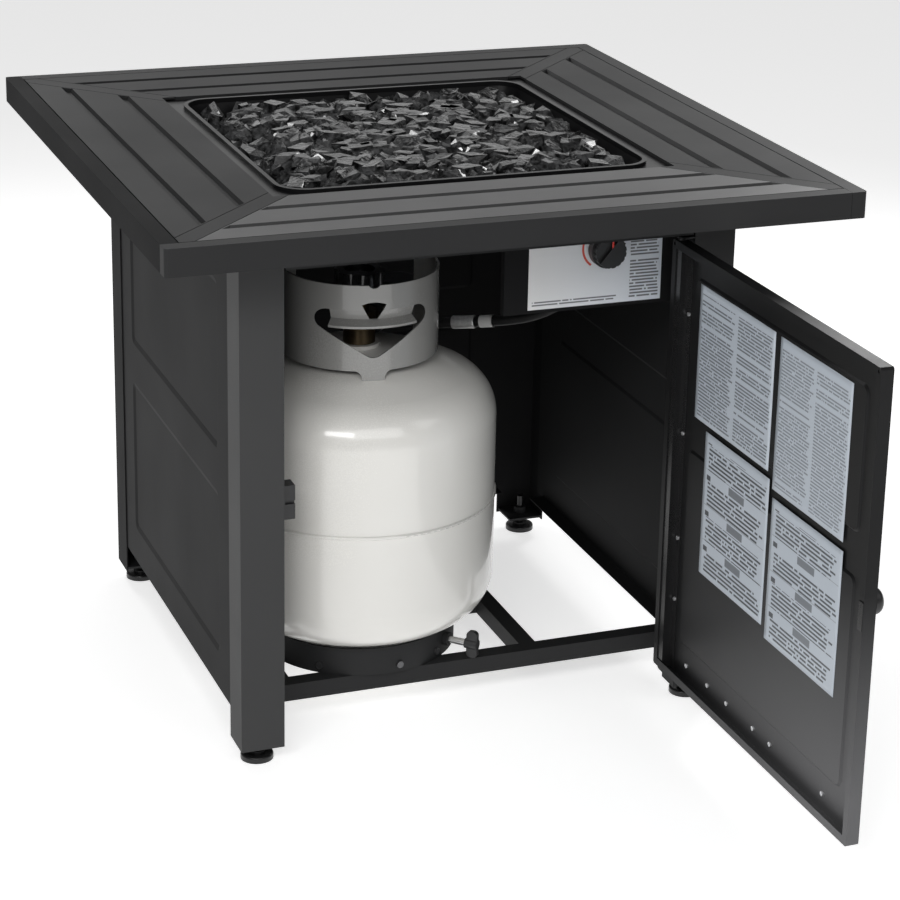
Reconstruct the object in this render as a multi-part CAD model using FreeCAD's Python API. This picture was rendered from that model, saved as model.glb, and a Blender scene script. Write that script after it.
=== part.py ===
import FreeCAD, Part
import math
import os

os.makedirs("parts", exist_ok=True)

V = FreeCAD.Vector
UP = V(0, 0, 1)
ALONG_X = V(1, 0, 0)
ALONG_Y = V(0, 1, 0)
ORIGIN = V(0, 0, 0)

# Square gas fire pit table with its cabinet door open, in millimetres.
# The floor is z = 0, the middle of the table top is x = y = 0, and the door is on the -Y side.

# How far a cutting shape, or a root inside its neighbour, reaches past a face
overrun = 1.0

# Table top: a rim of four folded rails, four pressed panels and four corner strips
top_width = 762.0
table_height = 620.0
rim_height = 29.0
rim_width = 18.0
rim_sheet = 1.5
rim_corner_radius = 4.0
rim_bottom_return = 9.0
rim_ledge_width = 10.0
rim_ledge_drop = 5.0
rim_joint_gap = 0.4
panel_sheet = 1.2
panel_gap = 1.5
groove_width = 11.0
groove_depth = 4.0
groove_slope = 2.5
groove_end_slope = 2.0
groove_end_gap = 1.3
outer_groove_from_edge = 58.0
inner_groove_from_edge = 113.0
corner_strip_width = 22.0
corner_strip_gap = 1.0
corner_strip_tongue = 7.0
corner_strip_fit = 0.2
corner_strip_corner = 1.0
opening_width = 454.0
bowl_seat_drop = 5.0
bowl_seat_width = 11.0

# Beams under the top
beam_width = 25.0
beam_wall = 1.5
beam_from_centre = 262.0
beam_end_gap = 1.0

# Cabinet
cabinet_width = 558.0
cabinet_depth = 558.0
post_bottom = 18.0
post_front_leg = 48.0
post_side_leg = 44.0
post_sheet = 1.5
post_return = 30.0
side_sheet = 1.0
side_overlap = 18.0
side_bottom = 52.0
side_flange_end_gap = 1.0
side_flange = 20.0
emboss_depth = 1.6
emboss_slope = 6.0
emboss_corner_radius = 10.0
emboss_width = 380.0
lower_emboss_bottom = 95.0
upper_emboss_bottom = 334.0
emboss_height = 190.0
header_height = 35.0
header_return = 18.0
header_end_gap = 1.8

# Levelling feet
foot_from_corner_x = 23.0
foot_from_corner_y = 21.0
foot_radius = 18.0
foot_thickness = 7.0
foot_neck_radius = 9.0
foot_neck_height = 3.0
foot_stud_radius = 4.0
foot_stud_top = 46.0
foot_stud_clearance = 0.1
foot_plate_thickness = 2.5
foot_plate_bottom = 21.0
foot_nut_radius = 8.0
foot_nut_height = 8.0

# Base frame of square tubes
rail_size = 20.0
rail_wall = 1.5
front_rail_face = -202.0
rail_end_gap = 14.0
left_cross_rail_edge = -217.0
right_cross_rail_edge = 79.0
middle_rail_face = -46.0

# Gas cylinder
tank_x = -89.0
tank_y = -97.0
tank_radius = 155.0
tank_height = 448.0
tank_wall = 3.0
tank_crown_radius = 280.4
tank_knuckle_radius = 53.5
tank_ground_gap = 12.0
tank_shell_height = 342.0
seam_radius = 2.0
foot_ring_radius = 102.0
foot_ring_reach = 45.0
foot_ring_wall = 2.5
collar_radius = 88.0
collar_wall = 2.5
collar_height = 97.0
collar_open_from = 26.0
collar_open_to = 128.0
hand_hole_heading = 262.0
collar_tab_headings = (262.0, 144.0, 10.0)
collar_tab_flare = 10.0
collar_tab_reach = 40.0
collar_tab_entry = 0.5
collar_tab_width = 25.0
hand_hole_half_width = 61.0
hand_hole_top_below_rim = 28.0
hand_hole_height = 54.0
fan_hole_height = 9.0
fan_hole_half_width = 13.5
fan_hole_arch = 3.0
hand_hole_corner = 11.0
hand_hole_slope = 5.0
hand_hole_point_half_width = 9.0
hand_hole_point_height = 3.0
hand_hole_bulge = 1.0
rim_notch_depth = 3.5
rim_notch_radius = 7.0
lip_half_angle = 32.0
lip_sink = 4.5
lip_sink_drop = 11.0
lip_reach = 4.0
lip_drop = 17.0
lip_sheet = 2.5
lip_root = 0.5
lip_bend = 1.0

# Black ring that holds the cylinder on the rails
holder_radius = 112.0
holder_wall = 3.0
holder_height = 32.0
holder_screw_headings = (230.0, 277.0, 305.0)
holder_screw_height = 9.0
holder_screw_radius = 4.0
holder_screw_head = 2.5
holder_screw_seat = 0.05
retainer_heading = -45.0
retainer_height = 17.0
retainer_radius = 4.0
retainer_length = 44.0
retainer_tip_gap = 0.3
retainer_clearance = 0.1
retainer_nut_length = 6.0
retainer_nut_radius = 8.0
wing_gap = 20.0
wing_hub_radius = 6.0
wing_length = 15.0
wing_height = 32.0
wing_thickness = 6.0
wing_root = 2.0
wing_corner = 5.0
wing_bore_gap = 0.1

# Cylinder valve, coupling and regulator
outlet_heading = 49.0
outlet_height = 430.0
outlet_radius = 15.0
outlet_reach = 38.0
outlet_bore_radius = 8.1
outlet_bore_depth = 14.0
valve_neck_radius = 15.0
valve_fit = 0.05
valve_neck_in_shell = 12.0
valve_neck_length = 24.0
valve_boss_wall = 8.0
valve_boss_sink = 2.0
valve_boss_height = 3.0
valve_body_gap = 3.5
valve_body_radius = 18.0
bonnet_radius = 11.0
bonnet_gap = 1.0
valve_body_top = 446.0
valve_spindle_radius = 6.0
handwheel_radius = 28.0
handwheel_bottom = 470.0
handwheel_height = 23.0
handwheel_lobes = 6
handwheel_clearance = 0.1
handwheel_lobe_radius = 12.0
handwheel_lobe_depth = 4.0
handwheel_dish_depth = 4.0
handwheel_rim = 11.0
spindle_in_wheel = 12.0
spindle_end_gap = 0.2
nut_from_axis = 24.0
nut_length = 36.0
nut_radius = 21.5
nut_clearance = 0.1
nut_back = 6.0
nut_ribs = 12
nut_rib_radius = 3.0
nut_rib_depth = 1.2
regulator_from_axis = 116.0
regulator_radius = 32.0
regulator_bottom = 398.0
regulator_height = 42.0
regulator_cap_radius = 22.0
regulator_cap_height = 10.0
regulator_edge = 4.0
nipple_radius = 8.0
nipple_entry = 12.0
nipple_root = 6.0
nipple_stop_gap = 2.0
nipple_stop_radius = 12.0
nipple_stop_thickness = 1.8
float_pivot_drop = 50.0
float_arm_length = 62.0
float_radius = 14.0
float_length = 44.0
float_droop = 40.0
float_pin_radius = 1.5
float_clearance = 0.1
float_stem_radius = 4.0
float_pin_length = 9.0
float_eye_from = 8.0
float_eye_radius = 4.0
float_arm_width = 3.5
float_arm_height = 3.0
float_arm_entry = 2.0

# Gas hose: its route from the regulator side to the control valve
hose_radius = 6.2
hose_start_height = 410.0
hose_first_turn_height = 417.0
hose_middle_dip = 3.0
hose_last_turn_below_knob = 80.0
hose_end_below_knob = 55.0
ferrule_radius = 7.6
ferrule_length = 28.0
ferrule_edge = 1.0
fitting_radius = 6.4
fitting_entry = 6.0
tag_start = 6.5
tag_length = 16.0
tag_thickness = 0.8
tag_clearance = 0.1

# Control panel
control_face = -215.0
control_left = 36.0
control_right_gap = 17.0
control_top_gap = 3.0
control_height = 126.0
control_sheet = 1.2
control_return = 10.0
card_left = 64.0
card_width = 158.0
card_foot_gap = 4.0
card_height = 96.0
card_sheet = 0.5
knob_x = 151.0
knob_below_control_top = 57.0
knob_radius = 20.0
knob_length = 22.0
knob_gap = 6.0
knob_ribs = 16
knob_bore_depth = 14.0
knob_clearance = 0.1
knob_skirt_share = 0.45
knob_barrel_share = 0.8
knob_barrel_step = 2.0
knob_rib_radius = 2.0
knob_rib_depth = 0.8
knob_grip_width = 9.0
knob_grip_inset = 2.5
stem_radius = 4.0
stem_clearance = 0.1
stem_guide_depth = 22.0
stem_travel = 4.0
stem_front_gap = 0.2
stem_back_gap = 1.0
valve_width = 30.0
valve_depth = 46.0
panel_hole_radius = 7.0

# Fire bowl and burner
bowl_clearance = 1.0
bowl_sheet = 1.2
bowl_mouth_width = 420.0
bowl_floor_width = 380.0
bowl_mouth_radius = 32.0
bowl_floor_radius = 22.0
bowl_depth = 70.0
bowl_bead_height = 4.0
bowl_bead_width = 5.0
bowl_flange_corner = 4.0
burner_radius = 95.0
burner_tube_radius = 8.0
burner_chamfer = 3.0
burner_above_floor = 5.0
burner_hub_radius = 16.0
burner_arm_thinner = 2.5
burner_leg_radius = 4.0
burner_leg_entry = 2.0
burner_ports = 24
burner_port_radius = 1.5
mixer_radius = 9.0
mixer_length = 78.0
mixer_cap_length = 10.0
mixer_drop = 12.0
mixer_heading = -52.0
mixer_gap = 0.3
mixer_cap_wall = 1.5
gas_tube_radius = 4.0
gas_tube_on_valve_share = 0.6
gas_tube_bend_from_valve = 30.0
electrode_radius = 3.5
electrode_heading = 40.0
electrode_from_centre = 118.0
electrode_plate_width = 20.0
electrode_plate_depth = 14.0
electrode_plate_sheet = 1.5
electrode_ceramic_height = 14.0
electrode_tip_radius = 1.0
electrode_tip_height = 5.0
shield_width = 300.0
shield_sheet = 1.2
shield_gap = 23.0
spacer_radius = 5.0
spacer_from_centre = 130.0
glass_gap = 0.3
glass_edge_drop = 17.0
glass_crown = 7.0
heap_shoulder_width_share = 0.72
heap_shoulder_height_share = 0.65
heap_top_width_share = 0.3
chunks_per_side = 7
chunk_pitch = 56.0
chunk_shift = 2.2
chunk_sides = 5
chunk_width = 50.0
chunk_width_spread = 0.16
chunk_top_share = 0.62
chunk_lean_share = 0.08
chunk_root = 4.0
chunk_lowest = 7.0
chunk_rise = 5.0
chunk_turn_step = 47.0
chunk_shift_step = 80.0
chunk_lean_step = 113.0
chunk_width_step = 2.4
chunk_rise_step = 1.7

# Door, made closed and then turned to the angle it has in the photograph
door_side_gap = 5.0
door_bottom = 48.0
door_top_gap = 40.0
door_sheet = 1.2
door_flange = 14.0
door_return = 9.0
door_proud = 5.0
door_corner_radius = 3.0
door_corner_hole_radius = 2.0
door_open_angle = 90.6
door_field_margin = 39.0
lower_field_bottom = 90.0
upper_field_top_gap = 32.0
between_fields = 44.0
upper_field_height = 153.0
door_field_depth = 2.0
door_field_slope = 4.0
hinge_pin_from_door_edge = 9.0
hinge_pin_from_door_face = 7.0
hinge_pin_radius = 2.5
hinge_pin_entry = 3.0
hinge_clearance = 0.05
bush_thickness = 2.0
bush_radius = 5.0
bracket_gap = 0.3
bracket_thickness = 1.5
bracket_leg = 14.0
bracket_arm_depth = 17.0
bracket_leg_from_pin = 2.0
bracket_leg_depth = 22.0
stiffener_width = 17.0
stiffener_inset = 2.0
stiffener_sheet = 1.2
stiffener_end_gap = 1.0
stiffener_lip = 8.0
door_knob_from_edge = 28.0
door_knob_height = 300.0
door_knob_radius = 14.0
door_knob_reach = 20.0
door_knob_neck_radius = 6.0
door_knob_head = 11.0
door_knob_rounding = 7.7
sheet_thickness = 0.3
paper_places = (
    (52.0, 173.0, 37.0, 151.0),
    (236.0, 150.0, 38.0, 165.0),
    (81.0, 149.0, 195.0, 164.0),
    (238.0, 150.0, 212.0, 158.0),
)
stiffener_rivet_shares = (0.173, 0.32, 0.567, 0.841)
rivet_radius = 2.2
rivet_height = 1.4
foot_screws_from_hinge = (60.0, 113.0, 160.0, 223.0, 262.0, 377.0)
foot_screws_above_edge = 20.0
foot_screw_radius = 2.6
foot_screw_height = 1.6
catch_bottom = 278.0
catch_height = 38.0
catch_width = 15.0
catch_depth = 18.0
catch_gap = 0.5
strike_thickness = 1.0
strike_height = 30.0
strike_edge_gap = 0.5
catch_slot_height = 4.0
catch_slot_from_side = 4.0
catch_slot_depth = 3.0

half_top = top_width / 2
half_opening = opening_width / 2
rim_bottom = table_height - rim_height
header_bottom = rim_bottom - header_height
rim_inside = half_top - rim_width
panel_outside = rim_inside - panel_gap
strip_end_gap = corner_strip_width / 2 + corner_strip_gap
post_x = cabinet_width / 2
post_y = cabinet_depth / 2
rail_top = side_bottom
rail_bottom = rail_top - rail_size
tank_bottom = rail_top
tank_shell_bottom = tank_bottom + tank_ground_gap
tank_shell_top = tank_shell_bottom + tank_shell_height
tank_top = tank_bottom + tank_height
collar_bottom = tank_top - collar_height
tank_axis = V(tank_x, tank_y, 0)
bowl_flange_bottom = table_height - bowl_seat_drop
bowl_flange_top = bowl_flange_bottom + bowl_sheet
bowl_floor = bowl_flange_top - bowl_depth
closed_door_face = -post_y - door_proud
door_width = cabinet_width - 2 * (post_front_leg + door_side_gap)
door_height = rim_bottom - door_top_gap - door_bottom
door_top = door_bottom + door_height
upper_field_bottom = door_top - upper_field_top_gap - upper_field_height
lower_field_height = upper_field_bottom - between_fields - lower_field_bottom
control_right = post_x - control_right_gap
control_top = rim_bottom - control_top_gap
control_bottom = control_top - control_height
card_bottom = control_bottom + card_foot_gap
knob_z = control_top - knob_below_control_top
hose_last_turn_height = knob_z - hose_last_turn_below_knob
hose_points = (
    V(58, -74, hose_start_height),
    V(89, -102, hose_first_turn_height),
    V(118, -129, (hose_first_turn_height + hose_last_turn_height) / 2 - hose_middle_dip),
    V(136, -150, hose_last_turn_height),
    V(143, -163, knob_z - hose_end_below_knob),
)
door_edge = door_width / 2
hinge_x = door_edge - hinge_pin_from_door_edge
hinge_y = closed_door_face + hinge_pin_from_door_face
hinge_axis_point = V(hinge_x, hinge_y, 0)


def box(x0, x1, y0, y1, z0, z1):
    """Box between two corners."""
    return Part.makeBox(x1 - x0, y1 - y0, z1 - z0, V(x0, y0, z0))


def rod(start, direction, radius, length):
    """Round bar from a point along a direction."""
    return Part.makeCylinder(radius, length, start, direction)


def face_of(points):
    """Flat face with straight sides through the points."""
    return Part.Face(Part.makePolygon(list(points) + [points[0]]))


def prism(points, direction):
    """Solid swept from a flat outline along a vector."""
    return face_of(points).extrude(direction)


def fused(shapes):
    """One clean solid from touching shapes."""
    result = shapes[0]
    if len(shapes) > 1:
        result = result.multiFuse(shapes[1:])
    return result.removeSplitter()


def door_front():
    """Lowest y that the open door reaches, at the free edge."""
    corner = V(-door_edge, closed_door_face + door_flange, 0) - hinge_axis_point
    return (FreeCAD.Rotation(UP, door_open_angle).multVec(corner) + hinge_axis_point).y


def save(name, shape):
    """Write one piece, or one group of alike pieces, with the middle of the open table's box at y = 0."""
    shape = shape.copy()
    shape.translate(V(0, -(half_top + door_front()) / 2, 0))
    shape.exportStep("parts/" + name + ".step")
    print(name, "solids", len(shape.Solids), "valid", shape.isValid(), "volume", round(shape.Volume))


def quarter_turns(shape, count):
    """Copy turned about the table's middle by quarter turns, front to right to rear to left."""
    result = shape.copy()
    result.rotate(ORIGIN, UP, 90 * count)
    return result


def heading(degrees):
    """Level direction, measured from +X towards +Y."""
    return V(math.cos(math.radians(degrees)), math.sin(math.radians(degrees)), 0)


def rounded_square(half, radius, z):
    """Closed square wire with round corners, level, at height z."""
    edges = []
    for count in range(4):
        turn = FreeCAD.Rotation(UP, 90 * count)
        start = turn.multVec(V(-half + radius, -half, 0))
        end = turn.multVec(V(half - radius, -half, 0))
        middle = turn.multVec(
            V(
                half - radius + radius * math.sin(math.pi / 4), -half + radius - radius * math.cos(math.pi / 4), 0
            )
        )
        corner_end = turn.multVec(V(half, -half + radius, 0))
        lift = V(0, 0, z)
        edges.append(Part.LineSegment(start + lift, end + lift).toShape())
        edges.append(Part.Arc(end + lift, middle + lift, corner_end + lift).toShape())
    return Part.Wire(edges)


def square_ring(half_out, radius_out, half_in, radius_in, z0, z1):
    """Level ring between two rounded squares."""
    outer = Part.Face(rounded_square(half_out, radius_out, z0)).extrude(V(0, 0, z1 - z0))
    inner = Part.Face(rounded_square(half_in, radius_in, z0)).extrude(V(0, 0, z1 - z0))
    return outer.cut(inner)


def frustum(lower_points, upper_points):
    """Solid between two outlines of as many corners, with sloped sides."""
    lower = Part.makePolygon(list(lower_points) + [lower_points[0]])
    upper = Part.makePolygon(list(upper_points) + [upper_points[0]])
    return Part.makeLoft([lower, upper], True, True)


def side_outline(y_out, y_in, end_gap, z):
    """Front-side strip of the top between two lines, its ends cut along the diagonals.

    end_gap is measured square to the diagonal.
    """
    shift = end_gap * math.sqrt(2)
    return [
        V(-y_out + shift, -y_out, z),
        V(y_out - shift, -y_out, z),
        V(y_in - shift, -y_in, z),
        V(-y_in + shift, -y_in, z),
    ]


def side_strip(y_out, y_in, end_gap, z0, z1):
    """Level slab on the front side of the top, mitred at its ends."""
    return prism(side_outline(y_out, y_in, end_gap, z0), V(0, 0, z1 - z0))


def make_rim_rail():
    """Front rim rail: folded sheet with a top strip, an inner ledge and a closed left end."""
    o = -half_top
    inner = -rim_inside
    t = rim_sheet
    ledge_top = table_height - rim_ledge_drop
    section = [
        V(0, o, rim_bottom),
        V(0, o, table_height),
        V(0, inner, table_height),
        V(0, inner, ledge_top - t),
        V(0, inner - t, ledge_top - t),
        V(0, inner - t, table_height - t),
        V(0, o + t, table_height - t),
        V(0, o + t, rim_bottom + t),
        V(0, o + rim_bottom_return, rim_bottom + t),
        V(0, o + rim_bottom_return, rim_bottom),
    ]
    length = half_top + rim_inside - rim_joint_gap
    rail = prism(section, V(length, 0, 0))
    rail.translate(V(-half_top, 0, 0))
    ledge = box(
        -rim_inside,
        rim_inside - rim_ledge_width - rim_joint_gap,
        inner,
        inner + rim_ledge_width,
        ledge_top - t,
        ledge_top,
    )
    end = box(-half_top, -half_top + t, o, inner, rim_bottom, table_height)
    outline = Part.Face(rounded_square(half_top, rim_corner_radius, rim_bottom))
    rail = fused([rail, ledge, end])
    return rail.common(outline.extrude(V(0, 0, rim_height))).removeSplitter()


def groove(distance_from_edge, clearance=0.0):
    """Outer and inner solids of one pressed groove; their difference is the groove's sheet.

    A clearance makes the outer solid that much larger all round.
    """
    middle = half_top - distance_from_edge
    half = groove_width / 2
    top_gap = strip_end_gap + groove_end_gap
    bottom_gap = top_gap + groove_end_slope
    top = table_height
    floor = table_height - groove_depth
    inner = frustum(
        side_outline(middle + half - groove_slope, middle - half + groove_slope, bottom_gap, floor),
        side_outline(middle + half, middle - half, top_gap, top),
    )
    s = panel_sheet + clearance
    half_floor = half - groove_slope
    outer = frustum(
        side_outline(middle + half_floor + s, middle - half_floor - s, bottom_gap - s, floor - s),
        side_outline(middle + half + s, middle - half - s, top_gap - s, top),
    )
    return outer, inner


def make_top_panel():
    """Front top panel: flat sheet with two pressed grooves and turned-down edges."""
    s = panel_sheet
    plate_bottom = table_height - s
    seat = table_height - bowl_seat_drop
    pieces = [
        side_strip(panel_outside, half_opening, strip_end_gap, plate_bottom, table_height),
        side_strip(
            panel_outside, panel_outside - s, strip_end_gap, table_height - rim_ledge_drop, table_height
        ),
        side_strip(half_opening + s, half_opening, strip_end_gap, seat - s, table_height),
        side_strip(half_opening + s, half_opening - bowl_seat_width, strip_end_gap, seat - s, seat),
    ]
    hollows = []
    for distance in (outer_groove_from_edge, inner_groove_from_edge):
        outer, inner = groove(distance)
        pieces.append(outer)
        hollows.append(inner)
    panel = fused(pieces)
    for hollow in hollows:
        panel = panel.cut(hollow)
    return panel.removeSplitter()


def make_corner_strip():
    """Strip on the front left diagonal: a raised flat with a tongue under each panel end.

    The tongue is notched where the panels' grooves pass over it.
    """
    s = panel_sheet
    long_half = half_top * math.sqrt(2)
    start_half = half_opening / math.sqrt(2)
    half = corner_strip_width / 2
    flat = box(-long_half, -start_half, -half, half, table_height - 2 * s, table_height)
    tongue_half = strip_end_gap + corner_strip_tongue
    tongue_top = table_height - s - corner_strip_fit
    tongue = box(-long_half, -start_half, -tongue_half, tongue_half, tongue_top - s, tongue_top)
    for piece in (flat, tongue):
        piece.rotate(ORIGIN, UP, 45)
    corner = corner_strip_corner
    flat_ring = square_ring(panel_outside, corner, half_opening, corner, rim_bottom, table_height)
    flat = flat.common(flat_ring)
    outer_half = panel_outside - s - corner_strip_gap
    inner_half = half_opening + s + corner_strip_gap
    tongue_ring = square_ring(outer_half, corner, inner_half, corner, rim_bottom, table_height)
    tongue = tongue.common(tongue_ring)
    for distance in (outer_groove_from_edge, inner_groove_from_edge):
        front_notch = groove(distance, corner_strip_fit)[0]
        tongue = tongue.cut(front_notch).cut(quarter_turns(front_notch, -1))
    return fused([flat, tongue])


def tube_along_x(x0, x1, y0, y1, z0, z1, wall):
    """Rectangular tube open at both ends."""
    return box(x0, x1, y0, y1, z0, z1).cut(box(x0, x1, y0 + wall, y1 - wall, z0 + wall, z1 - wall))


def tube_along_y(x0, x1, y0, y1, z0, z1, wall):
    """Rectangular tube open at both ends."""
    return box(x0, x1, y0, y1, z0, z1).cut(box(x0 + wall, x1 - wall, y0, y1, z0 + wall, z1 - wall))


def make_beams():
    """Four tubes on the cabinet's top edge that carry the table top."""
    top = table_height - panel_sheet - groove_depth
    reach = rim_inside - rim_ledge_width - beam_end_gap
    half = beam_width / 2
    beams = []
    for side in (-1, 1):
        y = side * beam_from_centre
        beams.append(tube_along_x(-reach, reach, y - half, y + half, rim_bottom, top, beam_wall))
        x = side * beam_from_centre
        end = beam_from_centre - half
        beams.append(tube_along_y(x - half, x + half, -end, end, rim_bottom, top, beam_wall))
    return Part.makeCompound(beams)


def make_post(with_return):
    """Front left corner post, an L of folded sheet; the doorway edge may turn inwards."""
    t = post_sheet
    x = -post_x
    y = -post_y
    points = [
        V(x, y, post_bottom),
        V(x + post_front_leg, y, post_bottom),
    ]
    if with_return:
        points += [
            V(x + post_front_leg, y + post_return, post_bottom),
            V(x + post_front_leg - t, y + post_return, post_bottom),
            V(x + post_front_leg - t, y + t, post_bottom),
        ]
    else:
        points += [V(x + post_front_leg, y + t, post_bottom)]
    points += [
        V(x + t, y + t, post_bottom),
        V(x + t, y + post_side_leg, post_bottom),
        V(x, y + post_side_leg, post_bottom),
    ]
    return prism(points, V(0, 0, rim_bottom - post_bottom))


def rounded_outline(half_width, z0, z1, radius, plane_y):
    """Upright rounded rectangle, centred on x = 0, in the plane y."""
    k = radius * (1 - math.sin(math.pi / 4))
    w = half_width
    corners = [
        (V(w - radius, plane_y, z0), V(w - k, plane_y, z0 + k), V(w, plane_y, z0 + radius)),
        (V(w, plane_y, z1 - radius), V(w - k, plane_y, z1 - k), V(w - radius, plane_y, z1)),
        (V(-w + radius, plane_y, z1), V(-w + k, plane_y, z1 - k), V(-w, plane_y, z1 - radius)),
        (V(-w, plane_y, z0 + radius), V(-w + k, plane_y, z0 + k), V(-w + radius, plane_y, z0)),
    ]
    edges = []
    for index in range(4):
        edges.append(Part.Arc(*corners[index]).toShape())
        edges.append(Part.LineSegment(corners[index][2], corners[(index + 1) % 4][0]).toShape())
    return Part.Wire(edges)


def pressed_field(sheet, face_y, half_width, z0, z1, depth, slope, radius, sheet_thickness_here):
    """Press a rounded field of a sheet in the plane y by depth; a positive depth moves it towards +Y.

    face_y is the sheet's outer face, the one that looks towards -Y.
    """
    t = sheet_thickness_here
    outer_y = face_y
    inner_y = face_y + t

    def block(near_y, far_y, near_grow, far_grow):
        near = rounded_outline(
            half_width + near_grow, z0 - near_grow, z1 + near_grow, radius + near_grow, near_y
        )
        far = rounded_outline(half_width + far_grow, z0 - far_grow, z1 + far_grow, radius + far_grow, far_y)
        return Part.makeLoft([near, far], True, True)

    if depth > 0:
        body = block(outer_y, inner_y + depth, t, t - slope)
        hollow = block(outer_y, outer_y + depth, 0, -slope)
    else:
        body = block(inner_y, outer_y + depth, t, t - slope)
        hollow = block(inner_y, inner_y + depth, 0, -slope)
    return sheet.fuse(body).cut(hollow).removeSplitter()


def make_cabinet_panel():
    """Rear-facing panel made as a front one: pressed sheet with a flange at its foot and its head."""
    half = post_x - post_front_leg + side_overlap
    face = -post_y + post_sheet
    t = side_sheet
    sheet = box(-half, half, face, face + t, side_bottom, rim_bottom)
    flange_half = half - side_overlap - side_flange_end_gap
    sheet = fused(
        [
            sheet,
            box(-flange_half, flange_half, face, face + side_flange, side_bottom, side_bottom + t),
            box(-flange_half, flange_half, face, face + side_flange, rim_bottom - t, rim_bottom),
        ]
    )
    for bottom in (lower_emboss_bottom, upper_emboss_bottom):
        sheet = pressed_field(
            sheet,
            face,
            emboss_width / 2,
            bottom,
            bottom + emboss_height,
            emboss_depth,
            emboss_slope,
            emboss_corner_radius,
            t,
        )
    return sheet


def make_header():
    """Folded sheet over the doorway, between the front posts."""
    half = post_x - post_front_leg - header_end_gap
    t = post_sheet
    face = -post_y
    section = [
        V(-half, face, header_bottom),
        V(-half, face, rim_bottom),
        V(-half, face + header_return, rim_bottom),
        V(-half, face + header_return, rim_bottom - t),
        V(-half, face + t, rim_bottom - t),
        V(-half, face + t, header_bottom + t),
        V(-half, face + header_return, header_bottom + t),
        V(-half, face + header_return, header_bottom),
    ]
    return prism(section, V(2 * half, 0, 0))


def foot_centre(side_x, side_y):
    """Level place of one foot."""
    return V(side_x * (post_x - foot_from_corner_x), side_y * (post_y - foot_from_corner_y), 0)


def make_foot_plates():
    """Plate and welded nut inside the bottom of each post."""
    plates = []
    gap = 0.3
    for side_x in (-1, 1):
        for side_y in (-1, 1):
            centre = foot_centre(side_x, side_y)
            x_out = side_x * (post_x - post_sheet)
            x_in = side_x * (post_x - post_front_leg + post_sheet + gap)
            y_out = side_y * (post_y - post_sheet)
            y_in = side_y * (post_y - post_side_leg)
            plate = box(
                min(x_out, x_in),
                max(x_out, x_in),
                min(y_out, y_in),
                max(y_out, y_in),
                foot_plate_bottom,
                foot_plate_bottom + foot_plate_thickness,
            )
            nut = rod(
                centre + V(0, 0, foot_plate_bottom), UP, foot_nut_radius, foot_nut_height + foot_plate_thickness
            )
            hole = rod(centre, UP, foot_stud_radius + foot_stud_clearance, foot_stud_top * 2)
            plates.append(fused([plate, nut]).cut(hole))
    return Part.makeCompound(plates)


def make_foot(side_x, side_y):
    """Round pad with a threaded stud."""
    centre = foot_centre(side_x, side_y)
    pad = rod(centre, UP, foot_radius, foot_thickness)
    rim_edges = [edge for edge in pad.Edges if edge.Closed and edge.CenterOfMass.z > foot_thickness / 2]
    pad = pad.makeFillet(foot_thickness / 3, rim_edges)
    neck = rod(centre, UP, foot_neck_radius, foot_thickness + foot_neck_height)
    stud = rod(centre, UP, foot_stud_radius, foot_stud_top)
    return fused([pad, neck, stud])


def make_base_rails():
    """Front rail, two cross rails and the short rail between them, all square tube."""
    end = post_x - post_sheet - rail_end_gap
    rear = post_y - post_sheet
    s = rail_size
    front = tube_along_x(-end, end, front_rail_face, front_rail_face + s, rail_bottom, rail_top, rail_wall)
    cross = []
    for edge in (left_cross_rail_edge, right_cross_rail_edge):
        cross.append(
            tube_along_y(edge, edge + s, front_rail_face + s, rear, rail_bottom, rail_top, rail_wall)
        )
    middle = tube_along_x(
        left_cross_rail_edge + s,
        right_cross_rail_edge,
        middle_rail_face,
        middle_rail_face + s,
        rail_bottom,
        rail_top,
        rail_wall,
    )
    return Part.makeCompound([front] + cross + [middle])


def head_profile(radius, crown, knuckle):
    """Centre height and join angle of a dished head: a crown arc that meets a knuckle arc."""
    centre_gap = crown - knuckle
    knuckle_x = radius - knuckle
    crown_centre = -math.sqrt(centre_gap ** 2 - knuckle_x ** 2)
    return crown_centre, math.atan2(-crown_centre, knuckle_x)


def vessel(radius, crown, knuckle, bottom, top):
    """Closed round vessel with dished heads, made by turning its half profile."""
    crown_centre, join = head_profile(radius, crown, knuckle)
    depth = crown_centre + crown
    upper = top - depth
    lower = bottom + depth
    knuckle_x = radius - knuckle

    def knuckle_point(angle, base, sign):
        return V(knuckle_x + knuckle * math.cos(angle), 0, base + sign * knuckle * math.sin(angle))

    def crown_point(angle, base, sign):
        return V(crown * math.cos(angle), 0, base + sign * (crown_centre + crown * math.sin(angle)))

    middle = (join + math.pi / 2) / 2
    edges = [
        Part.Arc(V(0, 0, bottom), crown_point(middle, lower, -1), knuckle_point(join, lower, -1)).toShape(),
        Part.Arc(
            knuckle_point(join, lower, -1), knuckle_point(join / 2, lower, -1), V(radius, 0, lower)
        ).toShape(),
        Part.LineSegment(V(radius, 0, lower), V(radius, 0, upper)).toShape(),
        Part.Arc(
            V(radius, 0, upper), knuckle_point(join / 2, upper, 1), knuckle_point(join, upper, 1)
        ).toShape(),
        Part.Arc(knuckle_point(join, upper, 1), crown_point(middle, upper, 1), V(0, 0, top)).toShape(),
        Part.LineSegment(V(0, 0, top), V(0, 0, bottom)).toShape(),
    ]
    solid = Part.Face(Part.Wire(edges)).revolve(ORIGIN, UP, 360)
    solid.translate(tank_axis)
    return solid


def tank_outside():
    """Outer form of the cylinder's shell."""
    return vessel(tank_radius, tank_crown_radius, tank_knuckle_radius, tank_shell_bottom, tank_shell_top)


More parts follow.
